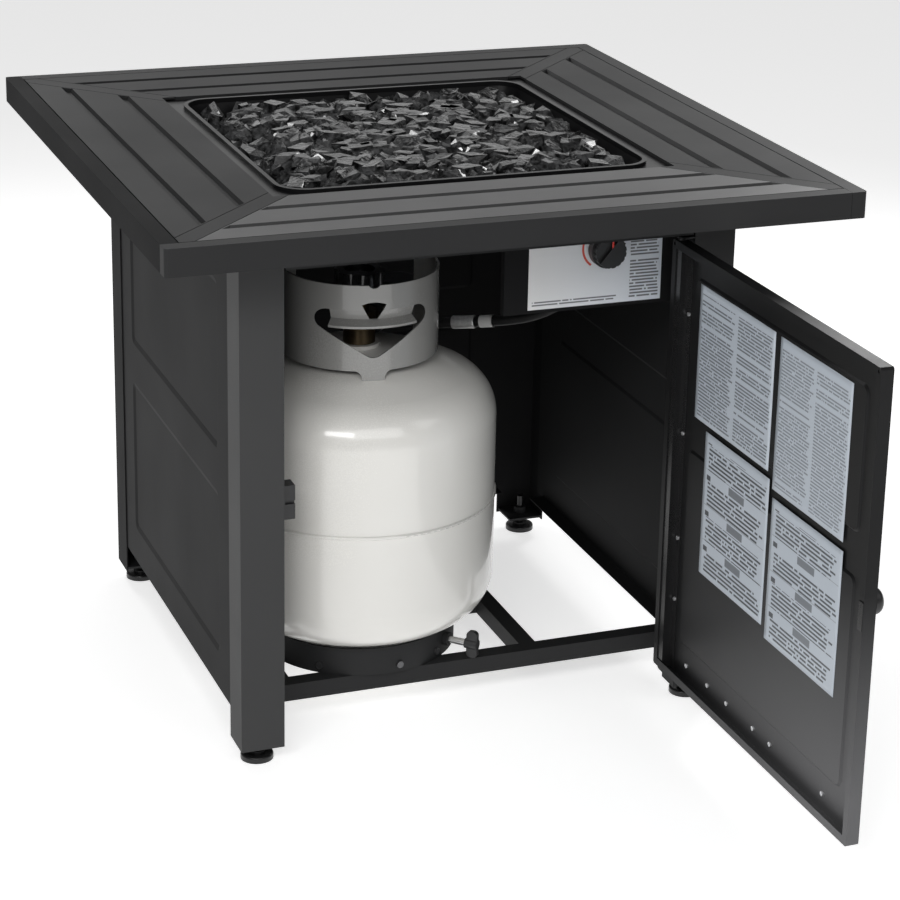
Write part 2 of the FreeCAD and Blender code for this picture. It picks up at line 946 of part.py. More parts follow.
def make_tank_shell():
    """Hollow steel shell with its middle weld and the boss for the valve."""
    inside = vessel(
        tank_radius - tank_wall,
        tank_crown_radius - tank_wall,
        tank_knuckle_radius - tank_wall,
        tank_shell_bottom + tank_wall,
        tank_shell_top - tank_wall,
    )
    seam_z = (tank_shell_bottom + tank_shell_top) / 2
    seam = Part.makeTorus(tank_radius, seam_radius, tank_axis + V(0, 0, seam_z), UP)
    boss_radius = valve_neck_radius + valve_boss_wall
    boss_bottom = tank_shell_top - tank_wall - valve_boss_sink
    boss_height = tank_wall + valve_boss_sink + valve_boss_height
    boss = rod(tank_axis + V(0, 0, boss_bottom), UP, boss_radius, boss_height)
    hole_start = tank_axis + V(0, 0, boss_bottom - overrun)
    hole = rod(hole_start, UP, valve_neck_radius + valve_fit, boss_height + 2 * overrun)
    return tank_outside().fuse([seam, boss]).cut(inside.fuse(hole)).removeSplitter()


def upright_ring(axis, radius, wall, z0, z1):
    """Upright round sleeve."""
    outer = rod(axis + V(0, 0, z0), UP, radius, z1 - z0)
    return outer.cut(rod(axis + V(0, 0, z0), UP, radius - wall, z1 - z0))


def make_foot_ring():
    """Ring welded under the shell, on which the cylinder stands."""
    ring = upright_ring(
        tank_axis, foot_ring_radius, foot_ring_wall, tank_bottom, tank_bottom + foot_ring_reach
    )
    return lowest_solid(ring.cut(tank_outside()))


def lowest_solid(shape):
    """The solid of a cut that lies lowest."""
    return min(shape.Solids, key=lambda solid: solid.CenterOfMass.z)


def on_collar(outline_edges, direction_degrees):
    """Turn an outline drawn in the plane y = 0 into a cutter through the collar's wall.

    The outline's x is measured along the wall and its z is the height.
    """
    cutter = Part.Face(Part.Wire(outline_edges)).extrude(V(0, -1.5 * collar_radius, 0))
    cutter.rotate(ORIGIN, UP, direction_degrees - 270)
    cutter.translate(tank_axis)
    return cutter


def line(a, b):
    """Straight edge."""
    return Part.LineSegment(a, b).toShape()


def arc(a, b, c):
    """Round edge through three points."""
    return Part.Arc(a, b, c).toShape()


def hand_hole_outline():
    """Carrying hole: round upper ends, and sides that fall to a blunt point."""
    w = hand_hole_half_width
    top = tank_top - hand_hole_top_below_rim
    low = top - hand_hole_height
    end = hand_hole_corner
    start_of_slope = top - 2 * end
    a = V(-w + end, 0, top)
    b = V(w - end, 0, top)
    c = V(w - hand_hole_slope, 0, start_of_slope)
    d = V(hand_hole_point_half_width, 0, low + hand_hole_point_height)
    e = V(-hand_hole_point_half_width, 0, low + hand_hole_point_height)
    f = V(-w + hand_hole_slope, 0, start_of_slope)
    return [
        line(a, b),
        arc(b, V(w, 0, top - end + hand_hole_bulge), c),
        line(c, d),
        arc(d, V(0, 0, low), e),
        line(e, f),
        arc(f, V(-w, 0, top - end + hand_hole_bulge), a),
    ]


def fan_hole_outline():
    """Fan-shaped relief hole that runs from above the carrying hole down to the lip's bend."""
    edge = tank_top - hand_hole_top_below_rim
    low = edge - lip_sink_drop
    high = edge + fan_hole_height
    w = fan_hole_half_width
    a = V(-w / 3, 0, low)
    b = V(w / 3, 0, low)
    c = V(w, 0, high - fan_hole_arch)
    d = V(-w, 0, high - fan_hole_arch)
    return [line(a, b), line(b, c), arc(c, V(0, 0, high), d), line(d, a)]


def make_lip():
    """Rolled edge over the carrying hole: the wall sinks inwards, then turns out and down."""
    edge = tank_top - hand_hole_top_below_rim
    r = collar_radius
    t = collar_wall
    section = [
        V(r - t, 0, edge + lip_root),
        V(r, 0, edge + lip_root),
        V(r - lip_sink, 0, edge - lip_sink_drop),
        V(r + lip_reach, 0, edge - lip_drop),
        V(r + lip_reach, 0, edge - lip_drop - lip_sheet),
        V(r - lip_sink - t, 0, edge - lip_sink_drop - lip_bend),
    ]
    lip = face_of(section).revolve(ORIGIN, UP, 2 * lip_half_angle)
    lip.rotate(ORIGIN, UP, hand_hole_heading - lip_half_angle)
    lip.translate(tank_axis)
    return lip


def collar_tab_outline():
    """Foot of the collar that reaches the shell, with hollow flares where it leaves the collar."""
    w = collar_tab_width / 2
    flare = collar_tab_flare
    k = flare * (1 - math.sin(math.pi / 4))
    low = collar_bottom - collar_tab_reach
    z = collar_bottom + collar_tab_entry
    return [
        line(V(-w, 0, low), V(w, 0, low)),
        line(V(w, 0, low), V(w, 0, z - flare)),
        arc(V(w, 0, z - flare), V(w + k, 0, z - k), V(w + flare, 0, z)),
        line(V(w + flare, 0, z), V(-w - flare, 0, z)),
        arc(V(-w - flare, 0, z), V(-w - k, 0, z - k), V(-w, 0, z - flare)),
        line(V(-w, 0, z - flare), V(-w, 0, low)),
    ]


def wedge_block(axis, radius, z0, z1, from_degrees, to_degrees):
    """Pie-shaped block between two headings."""
    block = Part.makeCylinder(radius, z1 - z0, axis + V(0, 0, z0), UP, to_degrees - from_degrees)
    block.rotate(axis, UP, from_degrees)
    return block


def make_collar():
    """Guard round the valve: open at the back, with a carrying hole, its rolled lip and three feet."""
    band = upright_ring(tank_axis, collar_radius, collar_wall, collar_bottom, tank_top)
    band = band.cut(
        wedge_block(
            tank_axis,
            collar_radius + overrun,
            collar_bottom - overrun,
            tank_top + overrun,
            collar_open_from,
            collar_open_to,
        )
    )
    band = band.cut(on_collar(hand_hole_outline(), hand_hole_heading))
    band = fused([band, make_lip()]).cut(on_collar(fan_hole_outline(), hand_hole_heading))
    across = heading(hand_hole_heading)
    notch_z = tank_top + rim_notch_radius - rim_notch_depth
    notch_start = tank_axis + across * (collar_radius - collar_wall - overrun) + V(0, 0, notch_z)
    notch = rod(notch_start, across, rim_notch_radius, collar_wall + 2 * overrun)
    band = band.cut(notch)
    tab_foot = collar_bottom - collar_tab_reach
    sleeve = upright_ring(tank_axis, collar_radius, collar_wall, tab_foot, collar_bottom + collar_tab_entry)
    outside = tank_outside()
    pieces = [band]
    for degrees in collar_tab_headings:
        pieces.append(sleeve.common(on_collar(collar_tab_outline(), degrees)).cut(outside))
    return fused(pieces)


def make_holder_ring():
    """Ring screwed to the rails round the foot of the cylinder, with a welded nut."""
    ring = upright_ring(tank_axis, holder_radius, holder_wall, rail_top, rail_top + holder_height)
    direction = heading(retainer_heading)
    start = tank_axis + direction * (holder_radius - overrun) + V(0, 0, rail_top + retainer_height)
    nut = rod(start, direction, retainer_nut_radius, retainer_nut_length + overrun)
    hole_start = tank_axis + direction * foot_ring_radius + V(0, 0, rail_top + retainer_height)
    hole = rod(hole_start, direction, retainer_radius + retainer_clearance, retainer_length)
    return fused([ring, nut]).cut(hole)


def make_holder_screws():
    """Screws that hold the ring to the front rail, as small round heads."""
    heads = []
    for degrees in holder_screw_headings:
        direction = heading(degrees)
        start = tank_axis + direction * (holder_radius - holder_screw_seat)
        start = start + V(0, 0, rail_top + holder_screw_height)
        head = rod(start, direction, holder_screw_radius, holder_screw_head)
        heads.append(
            head.cut(upright_ring(tank_axis, holder_radius, holder_wall, rail_top, rail_top + holder_height))
        )
    return Part.makeCompound(heads)


def make_retainer_stud():
    """Screw that presses on the foot ring; the wing knob turns it."""
    direction = heading(retainer_heading)
    start = tank_axis + direction * (foot_ring_radius + retainer_tip_gap)
    start = start + V(0, 0, rail_top + retainer_height)
    return rod(start, direction, retainer_radius, retainer_length)


def make_wing_knob():
    """Flat wing on a short hub at the stud's outer end."""
    direction = heading(retainer_heading)
    base = tank_axis + V(0, 0, rail_top + retainer_height)
    hub_from = holder_radius + retainer_nut_length + wing_gap
    hub = rod(base + direction * hub_from, direction, wing_hub_radius, wing_length)
    half = wing_thickness / 2
    wing = box(hub_from + wing_root, hub_from + wing_length, -half, half, -wing_height / 2, wing_height / 2)
    rounded_edges = [edge for edge in wing.Edges if abs(edge.tangentAt(edge.FirstParameter).y) > 0.9]
    wing = wing.makeFillet(wing_corner, rounded_edges)
    wing.rotate(ORIGIN, UP, retainer_heading)
    wing.translate(base)
    bore_length = foot_ring_radius + retainer_tip_gap + retainer_length - hub_from + 2 * wing_bore_gap
    bore_start = base + direction * (hub_from - wing_bore_gap)
    bore = rod(bore_start, direction, retainer_radius + retainer_clearance, bore_length)
    return fused([hub, wing]).cut(bore)


def make_tank_valve():
    """Brass valve: neck, body, side outlet with its bore, spindle, and the float's stem below."""
    neck_start = tank_axis + V(0, 0, tank_shell_top - valve_neck_in_shell)
    neck = rod(neck_start, UP, valve_neck_radius, valve_neck_length)
    body_bottom = tank_shell_top + valve_body_gap
    body = rod(tank_axis + V(0, 0, body_bottom), UP, valve_body_radius, valve_body_top - body_bottom)
    spindle_length = handwheel_bottom + spindle_in_wheel - valve_body_top
    spindle = rod(tank_axis + V(0, 0, valve_body_top), UP, valve_spindle_radius, spindle_length)
    bonnet_height = handwheel_bottom - valve_body_top - bonnet_gap
    bonnet = rod(tank_axis + V(0, 0, valve_body_top), UP, bonnet_radius, bonnet_height)
    direction = heading(outlet_heading)
    centre = tank_axis + V(0, 0, outlet_height)
    outlet = rod(centre, direction, outlet_radius, outlet_reach)
    bore = rod(
        centre + direction * (outlet_reach - outlet_bore_depth),
        direction,
        outlet_bore_radius,
        outlet_bore_depth + overrun,
    )
    pivot_z = tank_shell_top - float_pivot_drop
    stem = rod(tank_axis + V(0, 0, pivot_z), UP, float_stem_radius, neck_start.z - pivot_z + overrun)
    pin = rod(tank_axis + V(0, -float_pin_length, pivot_z), ALONG_Y, float_pin_radius, float_pin_length)
    return fused([neck, body, spindle, bonnet, outlet, stem, pin]).cut(bore)


def make_float():
    """Float on its arm, hanging at its low stop inside the cylinder."""
    pivot = tank_axis + V(0, 0, tank_shell_top - float_pivot_drop)
    eye_start = pivot - ALONG_Y * float_eye_from
    eye = rod(eye_start, ALONG_Y, float_eye_radius, float_arm_width)
    arm = box(
        pivot.x,
        pivot.x + float_arm_length,
        eye_start.y,
        eye_start.y + float_arm_width,
        pivot.z - float_arm_height / 2,
        pivot.z + float_arm_height / 2,
    )
    buoy_x = float_arm_length + float_radius - float_arm_entry
    buoy_y = float_arm_width / 2 - float_eye_from - float_length / 2
    buoy = rod(pivot + V(buoy_x, buoy_y, 0), ALONG_Y, float_radius, float_length)
    hole_start = eye_start - ALONG_Y * overrun
    hole = rod(hole_start, ALONG_Y, float_pin_radius + float_clearance, float_arm_width + 2 * overrun)
    body = fused([eye, arm, buoy]).cut(hole)
    body.rotate(pivot, ALONG_Y, float_droop)
    return body


def lobed_disc(base, direction, radius, length, lobes, lobe_radius, depth):
    """Round knob body with scallops cut along its side."""
    body = rod(base, direction, radius, length)
    side = V(0, 1, 0) if abs(direction.y) < 0.9 else V(1, 0, 0)
    across = direction.cross(side)
    across.normalize()
    for index in range(lobes):
        turn = FreeCAD.Rotation(direction, 360.0 * index / lobes)
        spot = turn.multVec(across) * (radius + lobe_radius - depth)
        body = body.cut(rod(base + spot - direction * overrun, direction, lobe_radius, length + 2 * overrun))
    return body


def make_handwheel():
    """Lobed black wheel on the valve's spindle."""
    base = tank_axis + V(0, 0, handwheel_bottom)
    wheel = lobed_disc(
        base,
        UP,
        handwheel_radius,
        handwheel_height,
        handwheel_lobes,
        handwheel_lobe_radius,
        handwheel_lobe_depth,
    )
    dish_start = base + UP * (handwheel_height - handwheel_dish_depth)
    dish = rod(dish_start, UP, handwheel_radius - handwheel_rim, handwheel_dish_depth + overrun)
    bore_length = spindle_in_wheel + spindle_end_gap + overrun
    bore = rod(base - UP * overrun, UP, valve_spindle_radius + handwheel_clearance, bore_length)
    return wheel.cut(dish).cut(bore)


def make_coupling_nut():
    """Ribbed plastic nut that turns freely on the regulator's nipple and screws on the outlet."""
    direction = heading(outlet_heading)
    base = tank_axis + direction * nut_from_axis + V(0, 0, outlet_height)
    nut = lobed_disc(base, direction, nut_radius, nut_length, nut_ribs, nut_rib_radius, nut_rib_depth)
    bore_length = nut_length - nut_back + overrun
    bore = rod(base - direction * overrun, direction, outlet_radius + nut_clearance, bore_length)
    back = rod(base, direction, nipple_radius + nut_clearance, nut_length + overrun)
    return nut.cut(bore).cut(back)


def hose_direction():
    """Level-ish direction in which the hose leaves the regulator."""
    direction = hose_points[1] - hose_points[0]
    direction.normalize()
    return direction


def hose_end_direction():
    """Direction in which the hose reaches the control valve."""
    direction = hose_points[-1] - hose_points[-2]
    direction.normalize()
    return direction


def make_regulator():
    """Round regulator body with its cap, the nipple to the cylinder and the fitting to the hose."""
    direction = heading(outlet_heading)
    axis = tank_axis + direction * regulator_from_axis
    body = rod(axis + V(0, 0, regulator_bottom), UP, regulator_radius, regulator_height)
    body = body.makeFillet(regulator_edge, [edge for edge in body.Edges if edge.Closed])
    cap = rod(
        axis + V(0, 0, regulator_bottom + regulator_height), UP, regulator_cap_radius, regulator_cap_height
    )
    nipple_from = outlet_reach - nipple_entry
    nipple = rod(
        tank_axis + direction * nipple_from + V(0, 0, outlet_height),
        direction,
        nipple_radius,
        regulator_from_axis - regulator_radius + nipple_root - nipple_from,
    )
    stop_start = tank_axis + V(0, 0, outlet_height)
    stop_start = stop_start + direction * (nut_from_axis + nut_length - nut_back - nipple_stop_gap)
    stop = rod(stop_start, direction, nipple_stop_radius, nipple_stop_thickness)
    along = hose_direction()
    sleeve_end = hose_points[0] - along * ferrule_length
    across = V(sleeve_end.x - axis.x, sleeve_end.y - axis.y, 0).Length
    reach = across - regulator_radius + fitting_entry
    fitting = rod(sleeve_end, along * -1, fitting_radius, reach)
    return fused([body, cap, nipple, stop, fitting])


def make_ferrules():
    """Crimped sleeves on both ends of the hose."""
    sleeves = []
    for end, along in ((hose_points[0], hose_direction() * -1), (hose_points[-1], hose_end_direction())):
        sleeve = rod(end, along, ferrule_radius, ferrule_length)
        sleeves.append(sleeve.makeFillet(ferrule_edge, [edge for edge in sleeve.Edges if edge.Closed]))
    return Part.makeCompound(sleeves)


def make_hose():
    """Rubber hose: straight runs joined by tangent arcs."""
    edges = []
    start = hose_points[0]
    for index in range(1, len(hose_points) - 1):
        corner = hose_points[index]
        back = hose_points[index - 1] - corner
        ahead = hose_points[index + 1] - corner
        shorter = min(back.Length, ahead.Length)
        back.normalize()
        ahead.normalize()
        turn = math.pi - back.getAngle(ahead)
        radius = 0.45 * shorter / math.tan(turn / 2)
        reach = radius * math.tan(turn / 2)
        arc_start = corner + back * reach
        arc_end = corner + ahead * reach
        inward = back + ahead
        inward.normalize()
        centre = corner + inward * (radius / math.cos(turn / 2))
        middle = centre - inward * radius
        edges.append(line(start, arc_start))
        edges.append(arc(arc_start, middle, arc_end))
        start = arc_end
        print("hose bend radius", round(radius, 1))
    edges.append(line(start, hose_points[-1]))
    path = Part.Wire(edges)
    section = Part.Wire(Part.makeCircle(hose_radius, hose_points[0], hose_direction()))
    tube = path.makePipeShell([section], True, False)
    length = sum(edge.Length for edge in edges)
    share = tube.Volume / (math.pi * hose_radius ** 2 * length)
    print("hose length", round(length, 1), "volume over section times length", round(share, 4))
    return tube


def make_tag():
    """Paper tag wrapped round the hose beside its first sleeve, left blank."""
    along = hose_direction()
    start = hose_points[0] + along * tag_start
    outer = rod(start, along, hose_radius + tag_clearance + tag_thickness, tag_length)
    return outer.cut(rod(start, along, hose_radius + tag_clearance, tag_length))


def make_control_panel():
    """Upright sheet behind the doorway's upper right, with turned edges, hung from the header."""
    t = control_sheet
    back = control_face + t
    plate = box(control_left, control_right, control_face, back, control_bottom, control_top)
    left = box(
        control_left, control_left + t, control_face, control_face + control_return, control_bottom, control_top
    )
    bottom = box(
        control_left,
        control_right,
        control_face,
        control_face + control_return,
        control_bottom,
        control_bottom + t,
    )
    hanger_front = -post_y + post_sheet
    hanger = box(
        control_left,
        post_x - post_front_leg - header_end_gap,
        hanger_front,
        back,
        control_top - t,
        control_top,
    )
    riser = box(
        control_left,
        post_x - post_front_leg - header_end_gap,
        hanger_front,
        hanger_front + t,
        control_top - t,
        rim_bottom - post_sheet,
    )
    side_leg = box(
        control_right - t,
        control_right,
        control_face,
        control_face + control_return,
        control_bottom,
        control_top,
    )
    hole = rod(V(knob_x, control_face - overrun, knob_z), ALONG_Y, panel_hole_radius, t + 2 * overrun)
    return fused([plate, left, bottom, hanger, riser, side_leg]).cut(hole)


def make_control_card():
    """Pale card on the control panel, round the knob."""
    card = box(
        card_left,
        card_left + card_width,
        control_face - card_sheet,
        control_face,
        card_bottom,
        card_bottom + card_height,
    )
    hole_start = V(knob_x, control_face - card_sheet - overrun, knob_z)
    return card.cut(rod(hole_start, ALONG_Y, panel_hole_radius, card_sheet + 2 * overrun))


def knob_front():
    """Front face of the control knob."""
    return control_face - knob_gap - knob_length


def make_control_knob():
    """Round ribbed knob with a grip bar across its face."""
    base = V(knob_x, control_face - knob_gap, knob_z)
    toward_front = ALONG_Y * -1
    skirt = rod(base, toward_front, knob_radius, knob_length * knob_skirt_share)
    barrel = lobed_disc(
        base,
        toward_front,
        knob_radius - knob_barrel_step,
        knob_length * knob_barrel_share,
        knob_ribs,
        knob_rib_radius,
        knob_rib_depth,
    )
    grip_half = knob_grip_width / 2
    grip = box(
        knob_x - grip_half,
        knob_x + grip_half,
        knob_front(),
        base.y,
        knob_z - knob_radius + knob_grip_inset,
        knob_z + knob_radius - knob_grip_inset,
    )
    grip.rotate(base, ALONG_Y, 40)
    bore_start = base - toward_front * overrun
    bore = rod(bore_start, toward_front, stem_radius + knob_clearance, knob_bore_depth + overrun)
    return fused([skirt, barrel, grip]).cut(bore)


def make_valve_stem():
    """Spindle that the knob sits on; it is pushed in before it turns."""
    front = control_face - knob_gap - knob_bore_depth + stem_front_gap
    back = control_face + control_sheet + stem_guide_depth - stem_travel - stem_back_gap
    return rod(V(knob_x, front, knob_z), ALONG_Y, stem_radius, back - front)


def make_gas_valve():
    """Control valve behind the panel, with a port for the hose and one for the burner tube."""
    half = valve_width / 2
    front = control_face + control_sheet
    body = box(knob_x - half, knob_x + half, front, front + valve_depth, knob_z - half, knob_z + half)
    bore_start = V(knob_x, front - overrun, knob_z)
    bore = rod(bore_start, ALONG_Y, stem_radius + stem_clearance, stem_guide_depth + overrun)
    along = hose_end_direction()
    sleeve_end = hose_points[-1] + along * ferrule_length
    reach = (knob_z - half - sleeve_end.z) / along.z + fitting_entry
    port = rod(sleeve_end, along, fitting_radius, reach)
    return fused([body, port]).cut(bore)


def make_bowl():
    """Fire bowl: a flange on the top's seat, a raised bead, sloped walls and a floor with its gas hole."""
    s = bowl_sheet
    half_flange = half_opening - bowl_clearance
    half_mouth = bowl_mouth_width / 2
    half_floor = bowl_floor_width / 2
    flange = square_ring(
        half_flange, bowl_flange_corner, half_mouth, bowl_mouth_radius, bowl_flange_bottom, bowl_flange_top
    )
    bead = square_ring(
        half_mouth + bowl_bead_width / 2,
        bowl_mouth_radius + bowl_bead_width / 2,
        half_mouth - bowl_bead_width / 2,
        bowl_mouth_radius - bowl_bead_width / 2,
        bowl_flange_bottom,
        bowl_flange_top + bowl_bead_height,
    )
    outer = Part.makeLoft(
        [
            rounded_square(half_floor, bowl_floor_radius, bowl_floor),
            rounded_square(half_mouth, bowl_mouth_radius, bowl_flange_bottom),
        ],
        True,
        True,
    )
    inner = Part.makeLoft(
        [
            rounded_square(half_floor - s, bowl_floor_radius - s, bowl_floor + s),
            rounded_square(half_mouth - s, bowl_mouth_radius - s, bowl_flange_bottom),
        ],
        True,
        True,
    )
    hole = rod(V(0, 0, bowl_floor - overrun), UP, mixer_radius + mixer_gap, s + 2 * overrun)
    return fused([flange, bead, outer.cut(inner)]).cut(hole)


def burner_height():
    """Height of the burner tube's centre line."""
    return bowl_floor + bowl_sheet + burner_above_floor + burner_tube_radius


def make_burner():
    """Pressed ring burner on four spokes and a hub, with a ring of small ports and feet on the floor."""
    centre = V(0, 0, burner_height())
    half = burner_tube_radius
    low = centre.z - half
    ring = upright_ring(ORIGIN, burner_radius + half, 2 * half, low, low + 2 * half)
    ring = ring.makeChamfer(burner_chamfer, [edge for edge in ring.Edges if edge.Closed])
    pieces = [ring]
    for degrees in (22.5, 112.5, 202.5, 292.5):
        pieces.append(rod(centre, heading(degrees), burner_tube_radius - burner_arm_thinner, burner_radius))
    floor_top = bowl_floor + bowl_sheet
    pieces.append(
        rod(V(0, 0, floor_top), UP, burner_hub_radius, burner_height() - floor_top + burner_tube_radius)
    )
    for degrees in (45, 135, 225, 315):
        spot = heading(degrees) * burner_radius
        leg_height = burner_above_floor + burner_leg_entry
        pieces.append(rod(spot + V(0, 0, floor_top), UP, burner_leg_radius, leg_height))
    burner = fused(pieces)
    ports = []
    for index in range(burner_ports):
        spot = heading(360.0 * (index + 0.5) / burner_ports) * burner_radius
        ports.append(rod(spot + centre, UP, burner_port_radius, burner_tube_radius + overrun))
    return burner.cut(Part.makeCompound(ports))


def mixer_height():
    """Height of the mixing tube's centre line under the bowl."""
    return bowl_floor - mixer_drop


def make_mixer():
    """Elbow from the burner's hub through the bowl's floor to the level mixing tube."""
    along = heading(mixer_heading)
    upright = rod(V(0, 0, mixer_height()), UP, mixer_radius, bowl_floor + bowl_sheet - mixer_height())
    level = rod(V(0, 0, mixer_height()), along, mixer_radius, mixer_length)
    knee = Part.makeSphere(mixer_radius, V(0, 0, mixer_height()))
    cap_start = V(0, 0, mixer_height()) + along * mixer_length
    cap = rod(cap_start, along, mixer_radius + mixer_cap_wall, mixer_cap_length)
    return fused([upright, level, knee, cap])


def make_gas_tube():
    """Thin metal tube from the control valve to the mixing tube."""
    along = heading(mixer_heading)
    radius = gas_tube_radius
    cap_end = V(0, 0, mixer_height()) + along * (mixer_length + mixer_cap_length)
    start = cap_end + along * radius
    inlet_y = control_face + control_sheet + valve_depth * gas_tube_on_valve_share
    valve_side = V(knob_x - valve_width / 2, inlet_y, knob_z)
    corner = V(valve_side.x - gas_tube_bend_from_valve, valve_side.y, knob_z)
    first = corner - start
    second = valve_side - corner
    pieces = [
        rod(cap_end, along, radius, radius),
        Part.makeSphere(radius, start),
        rod(start, first, radius, first.Length),
        Part.makeSphere(radius, corner),
        rod(corner, second, radius, second.Length),
    ]
    return fused(pieces)


def make_electrode():
    """Ceramic spark rod on a small bracket on the bowl's floor."""
    spot = heading(electrode_heading) * electrode_from_centre
    floor_top = bowl_floor + bowl_sheet
    plate = box(
        spot.x - electrode_plate_width / 2,
        spot.x + electrode_plate_width / 2,
        spot.y - electrode_plate_depth / 2,
        spot.y + electrode_plate_depth / 2,
        floor_top,
        floor_top + electrode_plate_sheet,
    )
    ceramic = rod(spot + UP * floor_top, UP, electrode_radius, electrode_ceramic_height)
    tip_start = spot + UP * (floor_top + electrode_ceramic_height)
    tip = rod(tip_start, UP, electrode_tip_radius, electrode_tip_height)
    return fused([plate, ceramic, tip])


def make_shield():
    """Heat shield over the cylinder, hung from the bowl's floor on four spacers."""
    half = shield_width / 2
    bottom = bowl_floor - shield_gap - shield_sheet
    pieces = [box(-half, half, -half, half, bottom, bottom + shield_sheet)]
    for side_x in (-1, 1):
        for side_y in (-1, 1):
            spot = V(side_x * spacer_from_centre, side_y * spacer_from_centre, bottom)
            pieces.append(rod(spot, UP, spacer_radius, bowl_floor - bottom))
    return fused(pieces)


def make_chunk(middle, turn, width, low, high, lean):
    """Blunt lump of glass: a tapered block whose smaller top leans to one side."""
    lower = []
    upper = []
    for corner in range(chunk_sides):
        out = heading(turn + corner * 360.0 / chunk_sides) * (width / 2)
        lower.append(middle + out + UP * low)
        upper.append(middle + out * chunk_top_share + lean + UP * high)
    return frustum(lower, upper)


def make_glass():
    """Bed of fire glass, as one body with a gently heaped top and its largest chunks."""
    bottom = burner_height() + burner_tube_radius + glass_gap
    edge_z = bowl_flange_bottom - glass_edge_drop

    def half_at(z):
        share = (z - bowl_floor) / (bowl_flange_bottom - bowl_floor)
        wall = bowl_floor_width / 2 + share * (bowl_mouth_width - bowl_floor_width) / 2
        return wall - bowl_sheet - 2 * glass_gap

    def radius_at(z):
        share = (z - bowl_floor) / (bowl_flange_bottom - bowl_floor)
        return bowl_floor_radius + share * (bowl_mouth_radius - bowl_floor_radius)

    wires = [
        rounded_square(half_at(bottom), radius_at(bottom), bottom),
        rounded_square(half_at(edge_z), radius_at(edge_z), edge_z),
    ]
    bed = Part.makeLoft(wires, True, True)
    shoulder_half = half_at(edge_z) * heap_shoulder_width_share
    shoulder_z = edge_z + glass_crown * heap_shoulder_height_share
    heap = Part.makeLoft(
        [
            rounded_square(half_at(edge_z), radius_at(edge_z), edge_z),
            rounded_square(shoulder_half, bowl_mouth_radius, shoulder_z),
            rounded_square(half_at(edge_z) * heap_top_width_share, bowl_mouth_radius, edge_z + glass_crown),
        ],
        True,
        True,
    )
    pieces = [bed, heap]
    last = chunks_per_side - 1
    for row in range(chunks_per_side):
        for column in range(chunks_per_side):
            number = row * chunks_per_side + column
            place = V((column - last / 2) * chunk_pitch, (row - last / 2) * chunk_pitch, 0)
            middle = place + heading(number * chunk_shift_step) * chunk_shift
            to_edge = max(abs(middle.x), abs(middle.y)) / half_at(edge_z)
            slope_share = max(to_edge - heap_top_width_share, 0) / (1 - heap_top_width_share)
            surface = edge_z + glass_crown * (1 - slope_share)
            wave = (1 + math.sin(number * chunk_rise_step)) / 2
            top = surface - glass_crown / 2 + chunk_lowest + chunk_rise * wave
            width = chunk_width * (1 - chunk_width_spread * (1 - math.cos(number * chunk_width_step)))
            lean = heading(number * chunk_lean_step) * (width * chunk_lean_share)
            turn = number * chunk_turn_step
            pieces.append(make_chunk(middle, turn, width, edge_z - chunk_root, top, lean))
    return fused(pieces)


def opened(shape):
    """Turn a piece of the closed door to its open place."""
    result = shape.copy()
    result.rotate(hinge_axis_point, UP, door_open_angle)
    return result


def make_door_panel():
    """Door pan: pressed skin with side walls and a narrow inward return all round."""
    t = door_sheet
    e = door_edge
    y0 = closed_door_face
    y1 = y0 + door_flange
    z0 = door_bottom
    z1 = door_top
    outer = box(-e, e, y0, y1, z0, z1)
    corner_edges = [edge for edge in outer.Edges if abs(edge.tangentAt(edge.FirstParameter).y) > 0.9]
    outer = outer.makeFillet(door_corner_radius, corner_edges)
    inner = box(-e + t, e - t, y0 + t, y1 - t, z0 + t, z1 - t)
    mouth = box(
        -e + door_return, e - door_return, y1 - t - overrun, y1 + overrun, z0 + door_return, z1 - door_return
    )
    pan = outer.cut(inner).cut(mouth)
    holes = []
    for x in (-e + door_return / 2, e - door_return / 2):
        z = z1 - door_return / 2
        holes.append(rod(V(x, y1 - t - overrun, z), ALONG_Y, door_corner_hole_radius, t + 2 * overrun))
    pan = pan.cut(Part.makeCompound(holes))
    for low, height in ((lower_field_bottom, lower_field_height), (upper_field_bottom, upper_field_height)):
        half = e - door_field_margin
        pan = pressed_field(
            pan, y0, half, low, low + height, door_field_depth, door_field_slope, emboss_corner_radius, t
        )
    for z, turn in ((z0, 1), (z1, -1)):
        hole = rod(
            V(hinge_x, hinge_y, z - turn), UP * turn, hinge_pin_radius + hinge_clearance, t + 2 * overrun
        )
        pan = pan.cut(hole)
    return pan


def make_stiffener():
    """Folded strip inside the door along its hinged side."""
    t = stiffener_sheet
    x1 = door_edge - door_sheet - stiffener_inset
    x0 = x1 - stiffener_width
    y1 = closed_door_face + door_flange - door_sheet
    y0 = closed_door_face + door_sheet
    z0 = door_bottom + door_sheet + stiffener_end_gap
    z1 = door_top - door_sheet - stiffener_end_gap
    section = [
        V(x0, y0, z0),
        V(x0 - stiffener_lip, y0, z0),
        V(x0 - stiffener_lip, y0 + t, z0),
        V(x0, y0 + t, z0),
        V(x0, y1, z0),
        V(x1, y1, z0),
        V(x1, y0, z0),
        V(x1 - t, y0, z0),
        V(x1 - t, y1 - t, z0),
        V(x0 + t, y1 - t, z0),
        V(x0 + t, y0, z0),
    ]
    return prism(section, V(0, 0, z1 - z0))


def make_hinge_bushes():
    """Two washers on the door, one under it and one on top, that the pins pass through."""
    bushes = []
    for low in (door_bottom - bush_thickness, door_top):
        disc = rod(V(hinge_x, hinge_y, low), UP, bush_radius, bush_thickness)
        hole_start = V(hinge_x, hinge_y, low - overrun)
        hole = rod(hole_start, UP, hinge_pin_radius + hinge_clearance, bush_thickness + 2 * overrun)
        bushes.append(disc.cut(hole))
    return Part.makeCompound(bushes)


